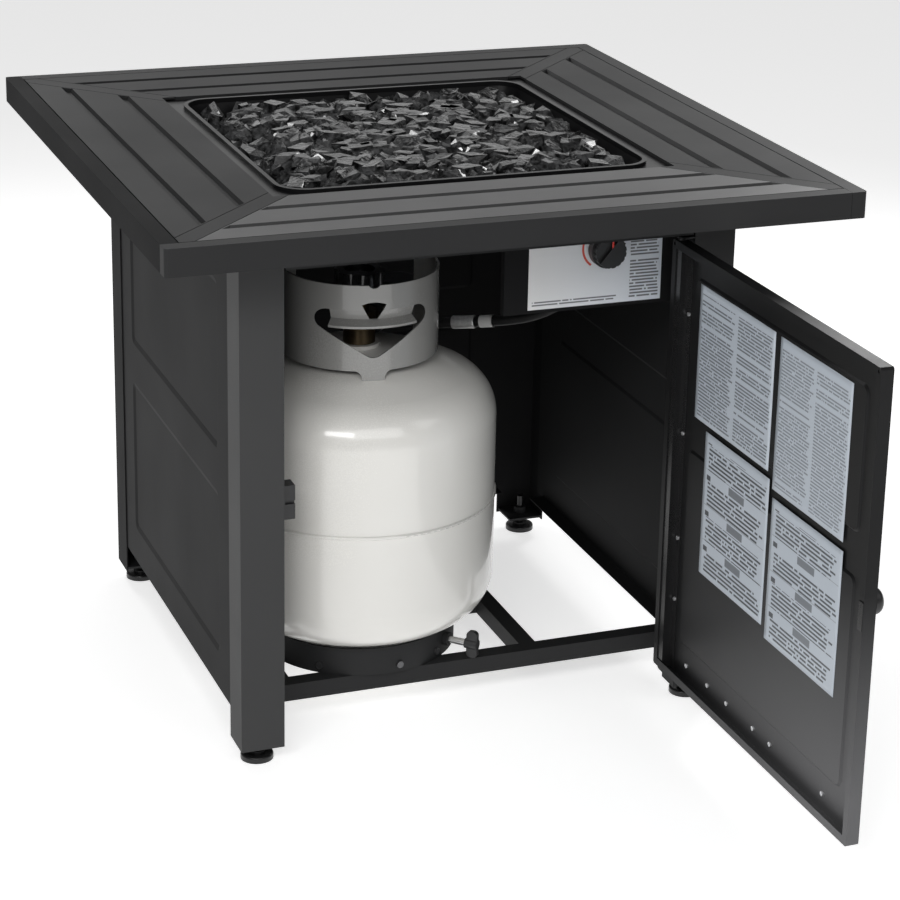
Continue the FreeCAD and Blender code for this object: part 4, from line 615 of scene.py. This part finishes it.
def printed_paper(name, columns, rows, seed, sections, darkness):
    """Pale paper with bars of print; sections are ruled off, each with a dark block and a small mark."""
    material, shader, here = new_finish(name, coat=0.1, coat_roughness=0.3)
    sheet = here.make("ShaderNodeUVMap", {"uv_map": "print"})
    across, up_the_sheet = parts(here, sheet, "XY")
    fibres = noise(here, place(here), 300.0, 3.0)
    inside = across.between(0.03, 0.97) * up_the_sheet.between(0.03, 0.94)
    ink = bars(here, across, up_the_sheet, columns, rows, seed) * inside
    if sections:
        band = (up_the_sheet * sections).fraction()
        rule = (band < 0.02) * 0.5
        block = band.between(0.74, 0.96) * across.between(0.40, 0.64) * 0.75
        mark = band.between(0.72, 0.86) * across.between(0.05, 0.11)
        ink = ink * (band < 0.70) * (across > 0.07) + (rule + block + mark) * inside
    ink = ink.at_most(1.0) * darkness
    feed(
        shader,
        Base_Color=mix_colours(here, ink, (0.50, 0.55, 0.61), (0.045, 0.05, 0.06)),
        Roughness=0.42 + (fibres - 0.5) * 0.2,
        Normal=relief(here, fibres, 0.04, 0.4),
    )
    return material


# %% [markdown]
# The door's papers lie on its inner face, which stands open at a right angle to the table. Working out
# each place on the open door would be awkward. So they are laid out as if the door were shut, where
# their places are simple numbers, and then turned about the hinge pin with it.

# %% Lay the papers on the open door
DOOR_OPEN_ANGLE = math.radians(90.6)
HINGE_PIN = np.array([217.0, -277.0, 0.0])
DOOR_HINGE_EDGE = 226.0
SHUT_DOOR_BACK = -280.8
PAPER_THICKNESS = 0.25
PAPER_WAVE = 0.1
PAPER_POINTS = 25

cosine = math.cos(DOOR_OPEN_ANGLE)
sine = math.sin(DOOR_OPEN_ANGLE)
OPENING_TURN = np.array([(cosine, -sine, 0.0), (sine, cosine, 0.0), (0.0, 0.0, 1.0)])

# Each paper: (gap from the hinge edge, width, foot, height), then the numbers of its print.
PAPERS = {
    "paper_upper_hinge_side": ((52.0, 173.0, 363.0, 151.0), ("paper_a", 2.0, 40.0, 5.0, 0.0, 0.78)),
    "paper_upper_free_side": ((236.0, 150.0, 348.0, 165.0), ("paper_b", 2.0, 46.0, 11.0, 0.0, 0.62)),
    "paper_lower_hinge_side": ((81.0, 149.0, 192.0, 164.0), ("paper_c", 1.0, 34.0, 23.0, 4.0, 0.98)),
    "paper_lower_free_side": ((238.0, 150.0, 181.0, 158.0), ("paper_d", 1.0, 34.0, 31.0, 4.0, 0.94)),
}


def on_open_door(points_mm):
    """Points of the shut door turned about the hinge pin: pin + turn (point - pin)."""
    return from_table((np.asarray(points_mm, float) - HINGE_PIN) @ OPENING_TURN.T + HINGE_PIN)


def door_paper(name, from_hinge, width, low, height, material):
    """A sheet over (across, up), flat but for waves that grow with the sixth power toward its edge."""
    share = np.linspace(0, 1, PAPER_POINTS)
    across, upward = np.meshgrid(share, share)
    edge = np.maximum(np.abs(across - 0.5), np.abs(upward - 0.5)) * 2
    lift = PAPER_WAVE * edge ** 6 * (1 + np.sin(9 * across + 5 * upward))
    x = DOOR_HINGE_EDGE - from_hinge - across * width
    y = SHUT_DOOR_BACK + PAPER_THICKNESS + lift
    z = low + upward * height
    points = on_open_door(np.stack([x, y, z], axis=-1))
    piece = add_piece(name, points, grid_faces(PAPER_POINTS, PAPER_POINTS))
    print_coordinates(piece, across, upward)
    thicken(piece, PAPER_THICKNESS * MM)
    piece.data.materials.append(material)
    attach(piece, "door")
    return piece


papers = [
    door_paper(name, *sheet_place, printed_paper(*print_numbers))
    for name, (sheet_place, print_numbers) in PAPERS.items()
]
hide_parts("door_sheets")
print("papers:", [piece.name for piece in papers])

# %% [markdown]
# The card behind the control knob is a pale sticker with a hole for the spindle. The solid has the
# right shape already, so only its print is new: bars again, with a red arc round the knob that shows
# which way it turns. The arc comes from each point's distance and angle from the knob's middle.

# %% Card of the control knob
card_low, card_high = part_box("control_card")
KNOB_MIDDLE = from_table((151.0, -215.0, 531.0))
COLUMN_START = 0.75
FOOT_LINES_WIDTH = 0.7
FOOT_LINES_HEIGHT = 0.1
CARD_INK = 0.88
ARC_RADII = (22.5 * MM, 25.0 * MM)
ARC_ANGLES = (-0.95, 0.25)


def card_print():
    """Pale card: bars in a column at its right and along its foot, and a red arc at the knob's left."""
    material, shader, here = new_finish("control_card", coat=0.2, coat_roughness=0.2)
    where = place(here)
    x, z = parts(here, where, "XZ")
    across = (x - card_low.x) / (card_high.x - card_low.x)
    upward = (z - card_low.z) / (card_high.z - card_low.z)
    in_column = (across - COLUMN_START) / (1 - COLUMN_START)
    right_column = bars(here, in_column, upward, 1.0, 26.0, 3.0, 18.0, 0.04) * (across > COLUMN_START)
    foot_lines = bars(here, across / FOOT_LINES_WIDTH, upward, 1.0, 30.0, 9.0, 60.0, 0.0)
    foot_lines = foot_lines * (upward < FOOT_LINES_HEIGHT) * (across < FOOT_LINES_WIDTH)
    inside = upward.between(0.03, 0.95) * across.between(0.03, 0.98)
    ink = (right_column + foot_lines) * inside * CARD_INK
    side = x - KNOB_MIDDLE[0]
    height = z - KNOB_MIDDLE[2]
    distance = here.maths("SQRT", side * side + height * height)
    angle = here.maths("ARCTAN2", height, side * -1.0)
    arc = distance.between(*ARC_RADII) * angle.between(*ARC_ANGLES)
    fibres = noise(here, where, 300.0, 3.0)
    grey = mix_colours(here, across, (0.80, 0.80, 0.80), (0.68, 0.73, 0.80))
    inked = mix_colours(here, ink, grey, (0.08, 0.08, 0.09))
    feed(
        shader,
        Base_Color=mix_colours(here, arc, inked, (0.62, 0.08, 0.05)),
        Roughness=0.38 + (fibres - 0.5) * 0.2,
        Normal=relief(here, fibres, 0.04, 0.4),
    )
    return material


nodes["control_card"].material_slots[0].material = card_print()
print("card, mm:", round((card_high.x - card_low.x) / MM), "by", round((card_high.z - card_low.z) / MM))

# %% [markdown]
# A red line on the knob shows its setting. A patch of colour in the knob's finish could do it, but a
# small bar keeps its edge sharp: it has a rounded back and is carried along the knob's grip.

# %% Red mark on the knob
knob_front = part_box("control_knob")[0].y
MARK_HALF_WIDTH = 1.2 * MM
MARK_RISE = 0.5 * MM
MARK_HALF_LENGTH = 5.5 * MM
MARK_FROM_MIDDLE = 10.5 * MM


def knob_mark():
    """A rounded bar over (turn, along): an ellipse across, shrinking to a point at both ends."""
    turn, along = np.meshgrid(np.linspace(0, 2 * np.pi, 17)[:-1], np.linspace(-1, 1, 13))
    swell = np.sqrt(np.clip(1 - along ** 4, 0.0, 1))
    x = KNOB_MIDDLE[0] + MARK_HALF_WIDTH * np.cos(turn) * swell
    y = knob_front + MARK_RISE * np.sin(turn) * swell + MARK_RISE
    z = KNOB_MIDDLE[2] + MARK_FROM_MIDDLE + MARK_HALF_LENGTH * along
    return add_piece("knob_mark", np.stack([x, y, z], axis=-1), grid_faces(13, 16, wrap=True))


mark = knob_mark()
mark.data.materials.append(finishes["red_paint"])
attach(mark, "flame_knob")
print("mark length, mm:", round(2 * MARK_HALF_LENGTH / MM, 1))

# %% [markdown]
# The hose runs from the regulator behind the control card. A NURBS curve draws it, because rubber
# bends evenly and has no corners, while a line with rounded corners would show where each bend
# starts. Its control points are the turns of the route, and the curve stays inside them.

# %% Gas hose
HOSE_RADIUS = 6.2 * MM
hose_route = from_table([
    (58.0, -74.0, 410.0),
    (89.0, -102.0, 417.0),
    (118.0, -129.0, 431.0),
    (136.0, -150.0, 451.0),
    (143.0, -163.0, 476.0),
])


def route_curve(name, route, radius):
    """A NURBS curve of order 3 that starts and ends on the first and last points of the route."""
    curve = bpy.data.curves.new(name, "CURVE")
    curve.dimensions = "3D"
    spline = curve.splines.new("NURBS")
    spline.points.add(len(route) - 1)
    spline.points.foreach_set("co", np.column_stack([route, np.ones(len(route))]).ravel())
    spline.order_u = 3
    spline.use_endpoint_u = True
    spline.resolution_u = 24
    curve.bevel_depth = radius
    curve.bevel_resolution = 6
    curve.use_fill_caps = True
    line = bpy.data.objects.new(name, curve)
    bpy.context.scene.collection.objects.link(line)
    return line


def line_points(route):
    """The points that the bare curve goes through, in order."""
    bare = route_curve("bare_line", route, 0.0)
    bpy.context.view_layer.update()
    mesh = bpy.data.meshes.new_from_object(bare)
    points = np.zeros(len(mesh.vertices) * 3)
    mesh.vertices.foreach_get("co", points)
    bpy.data.objects.remove(bare)
    return points.reshape(-1, 3)


hose = route_curve("hose", hose_route, HOSE_RADIUS)
hose.data.materials.append(finishes["hose_rubber"])
hose_line = line_points(hose_route)
steps = np.linalg.norm(np.diff(hose_line, axis=0), axis=1)

# %% [markdown]
# The tag is a blank vinyl band wrapped round the hose. A short straight cylinder would cut through
# the bend, so the band follows the hose: a ring of points is carried from one point of the line to
# the next, and two directions square to the line give the ring's plane.

# %% Tag on the hose
TAG_START = 6.5 * MM
TAG_LENGTH = 16.0 * MM
TAG_RADIUS = 7.1 * MM
TAG_RINGS = 9


def tube_along(name, line, radius, sides=24):
    """A closed sleeve: point = line + radius * (cos a * side + sin a * over), with flat ends."""
    tangent = np.gradient(line, axis=0)
    tangent /= np.linalg.norm(tangent, axis=1, keepdims=True)
    side = np.cross(tangent, (0.0, 0.0, 1.0))
    side /= np.linalg.norm(side, axis=1, keepdims=True)
    over = np.cross(side, tangent)
    angle = np.linspace(0, 2 * np.pi, sides + 1)[:-1]
    ring = np.cos(angle)[:, None, None] * side + np.sin(angle)[:, None, None] * over
    points = np.transpose(line + radius * ring, (1, 0, 2))
    faces = grid_faces(len(line), sides, wrap=True)
    faces.append(list(range(sides)))
    faces.append(list(range((len(line) - 1) * sides, len(line) * sides))[::-1])
    return add_piece(name, points, faces)


walked = np.concatenate([[0.0], np.cumsum(steps)])
tag_places = np.linspace(TAG_START, TAG_START + TAG_LENGTH, TAG_RINGS)
tag_line = np.column_stack([np.interp(tag_places, walked, hose_line[:, axis]) for axis in range(3)])
tag = tube_along("hose_tag_sleeve", tag_line, TAG_RADIUS)
tag.data.materials.append(finishes["tag_vinyl"])
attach(tag, "root")
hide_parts("hose_tag")
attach(hose, "root")
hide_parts("gas_hose")
print("tag length, mm:", round(TAG_LENGTH / MM, 1))

# %% [markdown]
# The bowl is filled with crushed glass. Modelling every chunk down to the bowl's floor would be waste,
# so a dark bed fills it up to just under the top, and the chunks lie on it. The bed is one soft mound:
# highest in the middle, falling to the edge with the fourth power of the distance.

# %% Bed under the glass
glass_low, glass_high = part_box("fire_glass")
BED_HALF = (glass_high.x - glass_low.x) / 2
CROWN = glass_high.z
EDGE_DROP = 10.0 * MM
SIDE_PULL = 0.09
BED_WALL_GAP = 3.0 * MM
BED_UNDER_HEAP = 9.0 * MM
BED_DEPTH = 18.0 * MM
BED_POINTS = 33


def mound(x, y):
    """Height of the heap: crown minus a drop that grows with the fourth power of the way to the edge."""
    to_edge = np.maximum(np.abs(x), np.abs(y - table_middle[1])) / BED_HALF
    return CROWN - EDGE_DROP * to_edge ** 4


def rounded_square(u, v, half):
    """The place of (u, v) in a square each of whose sides pulls in by the square of the other one."""
    x = half * u * np.sqrt(1 - SIDE_PULL * v ** 2)
    y = half * v * np.sqrt(1 - SIDE_PULL * u ** 2) + table_middle[1]
    return x, y


def glass_bed():
    """The rounded square over (u, v), a little under the mound, thickened downward."""
    share = np.linspace(-1, 1, BED_POINTS)
    x, y = rounded_square(*np.meshgrid(share, share), BED_HALF - BED_WALL_GAP)
    z = mound(x, y) - BED_UNDER_HEAP
    piece = add_piece("glass_bed", np.stack([x, y, z], axis=-1), grid_faces(BED_POINTS, BED_POINTS))
    return thicken(piece, BED_DEPTH)


bed = glass_bed()
bed.data.attributes.new("chunk", "FLOAT", "POINT")
bed.data.materials.append(finishes["fire_glass"])
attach(bed, "root")
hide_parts("fire_glass")
print("bed half width, mm:", round(BED_HALF / MM, 1), "crown:", round(CROWN / MM, 1))

# %% [markdown]
# Broken glass makes blunt many-sided lumps. Each is a short five-sided block with blunt ends, twelve
# points and twenty faces: a ball would look like gravel and a sharp crystal like rock candy. Every
# point is pushed in or out, and each block is stretched along three axes and turned at random.

# %% One lump of glass
SIDES = 5
step = np.arange(SIDES)
after = (step + 1) % SIDES
foot_turn = step * 2 * np.pi / SIDES
head_turn = foot_turn + 0.3
foot_ring = np.stack([np.cos(foot_turn), np.sin(foot_turn), 0 * step - 0.55], -1)
head_ring = np.stack([0.72 * np.cos(head_turn), 0.72 * np.sin(head_turn), 0 * step + 0.55], -1)
LUMP_POINTS = np.vstack([foot_ring, head_ring, [(0.0, 0.0, -0.75), (0.0, 0.0, 0.75)]])
LUMP_FACES = np.vstack([
    np.stack([step, after, after + SIDES], -1),
    np.stack([step, after + SIDES, step + SIDES], -1),
    np.stack([step + SIDES, after + SIDES, 0 * step + 2 * SIDES + 1], -1),
    np.stack([after, step, 0 * step + 2 * SIDES], -1),
])
print("a lump has", len(LUMP_POINTS), "points and", len(LUMP_FACES), "faces")

# %% [markdown]
# The chunks lie in two layers, one lump in each cell of a loose grid, so that they cover the bed
# evenly without a pile-up. A physics run could drop them in, but it is slower and harder to repeat
# exactly. All chunks of a layer are worked out in one array, and shading stays flat so that faces
# flash.

# %% Loose chunks of glass
dice = np.random.default_rng(20)
CHUNK_WALL_GAP = 9.0 * MM
POINT_WALL_GAP = 2.0 * MM
POINT_TOP_GAP = 0.5 * MM


def random_turns(count):
    """Turns from random unit quaternions w, x, y, z, as an array of matrices."""
    q = dice.normal(size=(count, 4))
    w, x, y, z = (q / np.linalg.norm(q, axis=1, keepdims=True)).T
    return np.stack([
        np.stack([1 - 2 * (y * y + z * z), 2 * (x * y - w * z), 2 * (x * z + w * y)], -1),
        np.stack([2 * (x * y + w * z), 1 - 2 * (x * x + z * z), 2 * (y * z - w * x)], -1),
        np.stack([2 * (x * z - w * y), 2 * (y * z + w * x), 1 - 2 * (x * x + y * y)], -1),
    ], 1)


def kept_in_bowl(lumps):
    """Points past the bowl's walls or too high are moved back to them."""
    wall = BED_HALF - POINT_WALL_GAP
    lumps[..., 0] = np.clip(lumps[..., 0], -wall, wall)
    lumps[..., 1] = np.clip(lumps[..., 1], table_middle[1] - wall, table_middle[1] + wall)
    lumps[..., 2] = np.minimum(lumps[..., 2], solid_box[1][2] - POINT_TOP_GAP)
    return lumps


def scattered_chunks(name, per_side, low_mm, high_mm, sink_mm):
    """One chunk in each cell of a grid: centre = cell + jitter, height from the mound less its sinking."""
    count = per_side * per_side
    cell = np.stack(np.meshgrid(np.arange(per_side), np.arange(per_side)), -1).reshape(-1, 2)
    spread = (cell + 0.5 + dice.uniform(-0.45, 0.45, (count, 2))) / per_side * 2 - 1
    size = dice.uniform(low_mm, high_mm, (count, 1, 1)) / 2 * MM
    stretch = dice.uniform(0.55, 1.25, (count, 1, 3))
    push = dice.uniform(0.78, 1.22, (count, len(LUMP_POINTS), 1))
    lumps = LUMP_POINTS[None] * push * stretch * size
    lumps = np.einsum("nij,nkj->nki", random_turns(count), lumps)
    x, y = rounded_square(spread[:, 0], spread[:, 1], BED_HALF - CHUNK_WALL_GAP)
    z = mound(x, y) - sink_mm * MM + dice.uniform(-2.5, 3.0, count) * MM
    lumps = kept_in_bowl(lumps + np.stack([x, y, z], -1)[:, None])
    first_points = len(LUMP_POINTS) * np.arange(count)
    faces = (LUMP_FACES[None] + first_points[:, None, None]).reshape(-1, 3).tolist()
    piece = add_piece(name, lumps, faces, smooth=False)
    shade = piece.data.attributes.new("chunk", "FLOAT", "POINT")
    shades = np.repeat(dice.random(count), len(LUMP_POINTS))
    shade.data.foreach_set("value", shades.astype(np.float32))
    piece.data.materials.append(finishes["fire_glass"])
    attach(piece, "root")
    print(name, "chunks:", count)
    return piece


scattered_chunks("glass_chunks_lower", 15, 28.0, 46.0, 6.0)
scattered_chunks("glass_chunks_upper", 16, 18.0, 42.0, 0.0)

# %% [markdown]
# Every node of the frame now takes the finish of its slot. The imported materials carry the slots'
# names, so a lookup is all that it needs. Some nodes look darker, paler or glossier in the photograph
# than the rest of their slot, and take a finish of their own afterwards. The inside, side and rim
# coats and the collar's paint are painted shade; the front and top front coats are painted light.
# The solids of the papers and the tag are left out, because the new pieces stand in their place.

# %% Put the finishes on the frame's nodes
OWN_FINISHES = {
    "collar_paint": ["tank_collar"],
    "inside_coat": ["control_panel", "rear_panel", "post_rear_left", "post_rear_right", "gas_valve"],
    "side_coat": ["side_panel_left", "side_panel_right"],
    "front_coat": ["post_front_left"],
    "rim_coat": ["rim_rail_left"],
    "top_front_coat": ["top_panel_front"],
    "door_coat": ["door_panel"],
    "glossy_coat": [
        "door_stiffener", "catch_strike",
        "foot_front_left", "foot_front_right", "foot_rear_left", "foot_rear_right",
    ],
    "dark_zinc": ["holder_screws"],
    "pale_zinc": ["door_screws"],
    "crimped_zinc": ["hose_ferrules"],
}

left_out = []
for name, node in nodes.items():
    for slot in node.material_slots:
        slot_name = slot.material.name.split(".")[0]
        if slot_name in finishes:
            slot.material = finishes[slot_name]
        elif slot_name != "control_card":
            left_out.append(name)
for finish, names in OWN_FINISHES.items():
    for name in names:
        nodes[name].material_slots[0].material = finishes[finish]
print("solids left bare under new pieces:", left_out)

# %% [markdown]
# The floor is plain and pale. A bright lamp could light it white, but would wash out the black metal
# too. So the floor glows a little, and the shadow under the table stays light, as on the white ground
# of a studio picture.

# %% Floor
FLOOR_HALF_WIDTH = 14.0
FLOOR_UNDER_FEET = 0.4 * MM
FLOOR_GLOW = 0.62


def studio_floor():
    """A flat pale square just under the feet, over (u, v)."""
    share = np.linspace(-FLOOR_HALF_WIDTH, FLOOR_HALF_WIDTH, 3)
    u, v = np.meshgrid(share, share)
    floor = add_piece("floor", np.stack([u, v, 0 * u - FLOOR_UNDER_FEET], -1), grid_faces(3, 3))
    material, shader, here = new_finish("floor_paper", roughness=0.9)
    soft = noise(here, place(here), 2.0, 2.0)
    feed(shader, Base_Color=mix_colours(here, soft, (0.86, 0.86, 0.86), (0.88, 0.88, 0.88)))
    shader.inputs["Emission Color"].default_value = (1.0, 1.0, 1.0, 1.0)
    shader.inputs["Emission Strength"].default_value = FLOOR_GLOW
    floor.data.materials.append(material)
    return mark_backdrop(floor)


studio_floor()
print("floor width, m:", 2 * FLOOR_HALF_WIDTH)

# %% [markdown]
# The light is soft, from panels as in a photographer's studio. A panel at the front left puts the
# bright patch on the cylinder, a wider one in front fills the cabinet, and one on the right lights
# the door. Behind the table a wide dim panel gives the top its sheen. The glass needs small bright
# lamps: a wide one makes whole facets grey, while two small ones behind the table make sharp glints.

# %% Lights
# Each lamp: its place, the point that it is aimed at, its width and height in metres, and its watts.
LAMPS = {
    "lamp_key": ((-1.9, -2.2, 2.1), (-0.05, 0.05, 0.35), (1.7, 0.6), 32.0),
    "lamp_front": ((-0.3, -2.5, 2.0), (-0.15, 0.0, 0.35), (2.4, 1.2), 20.0),
    "lamp_behind": ((0.68, 1.67, 1.32), (0.0, -0.1, 0.6), (1.9, 1.1), 7.0),
    "lamp_glint_left": ((-0.5, 2.0, 1.5), (0.0, 0.17, 0.6), (0.42, 0.42), 7.5),
    "lamp_glint_right": ((1.5, 1.4, 1.4), (0.0, 0.17, 0.6), (0.42, 0.42), 7.5),
    "lamp_right": ((2.3, -1.9, 2.5), (0.0, 0.0, 0.4), (1.4, 1.6), 10.0),
}


def soft_panel(name, spot, aim, size, watts):
    """A rectangular lamp aimed at a point: its back axis is the way from the aim to its spot."""
    lamp = bpy.data.lights.new(name, "AREA")
    lamp.shape = "RECTANGLE"
    lamp.size, lamp.size_y = size
    lamp.energy = watts
    holder = bpy.data.objects.new(name, lamp)
    bpy.context.scene.collection.objects.link(holder)
    backward = np.subtract(spot, aim)
    backward /= np.linalg.norm(backward)
    sideways = np.cross((0.0, 0.0, 1.0), backward)
    sideways /= np.linalg.norm(sideways)
    holder.matrix_world = placed(sideways, np.cross(backward, sideways), backward, spot)


for name, numbers in LAMPS.items():
    soft_panel(name, *numbers)
print("lamps:", list(LAMPS))

# %% [markdown]
# The rest of the room is an even white glow, too weak to cast shadows: it keeps the dark sides of the
# black metal from going flat. The plain view transform shows the colours as they were set, where a
# filmic one would grey the white ground.

# %% Room light
ROOM_GLOW = 0.16

world = bpy.data.worlds.new("studio")
world.use_nodes = True
background = world.node_tree.nodes["Background"]
background.inputs["Color"].default_value = (1.0, 1.0, 1.0, 1.0)
background.inputs["Strength"].default_value = ROOM_GLOW
bpy.context.scene.world = world
bpy.context.scene.view_settings.view_transform = "Standard"
print("room glow:", ROOM_GLOW)
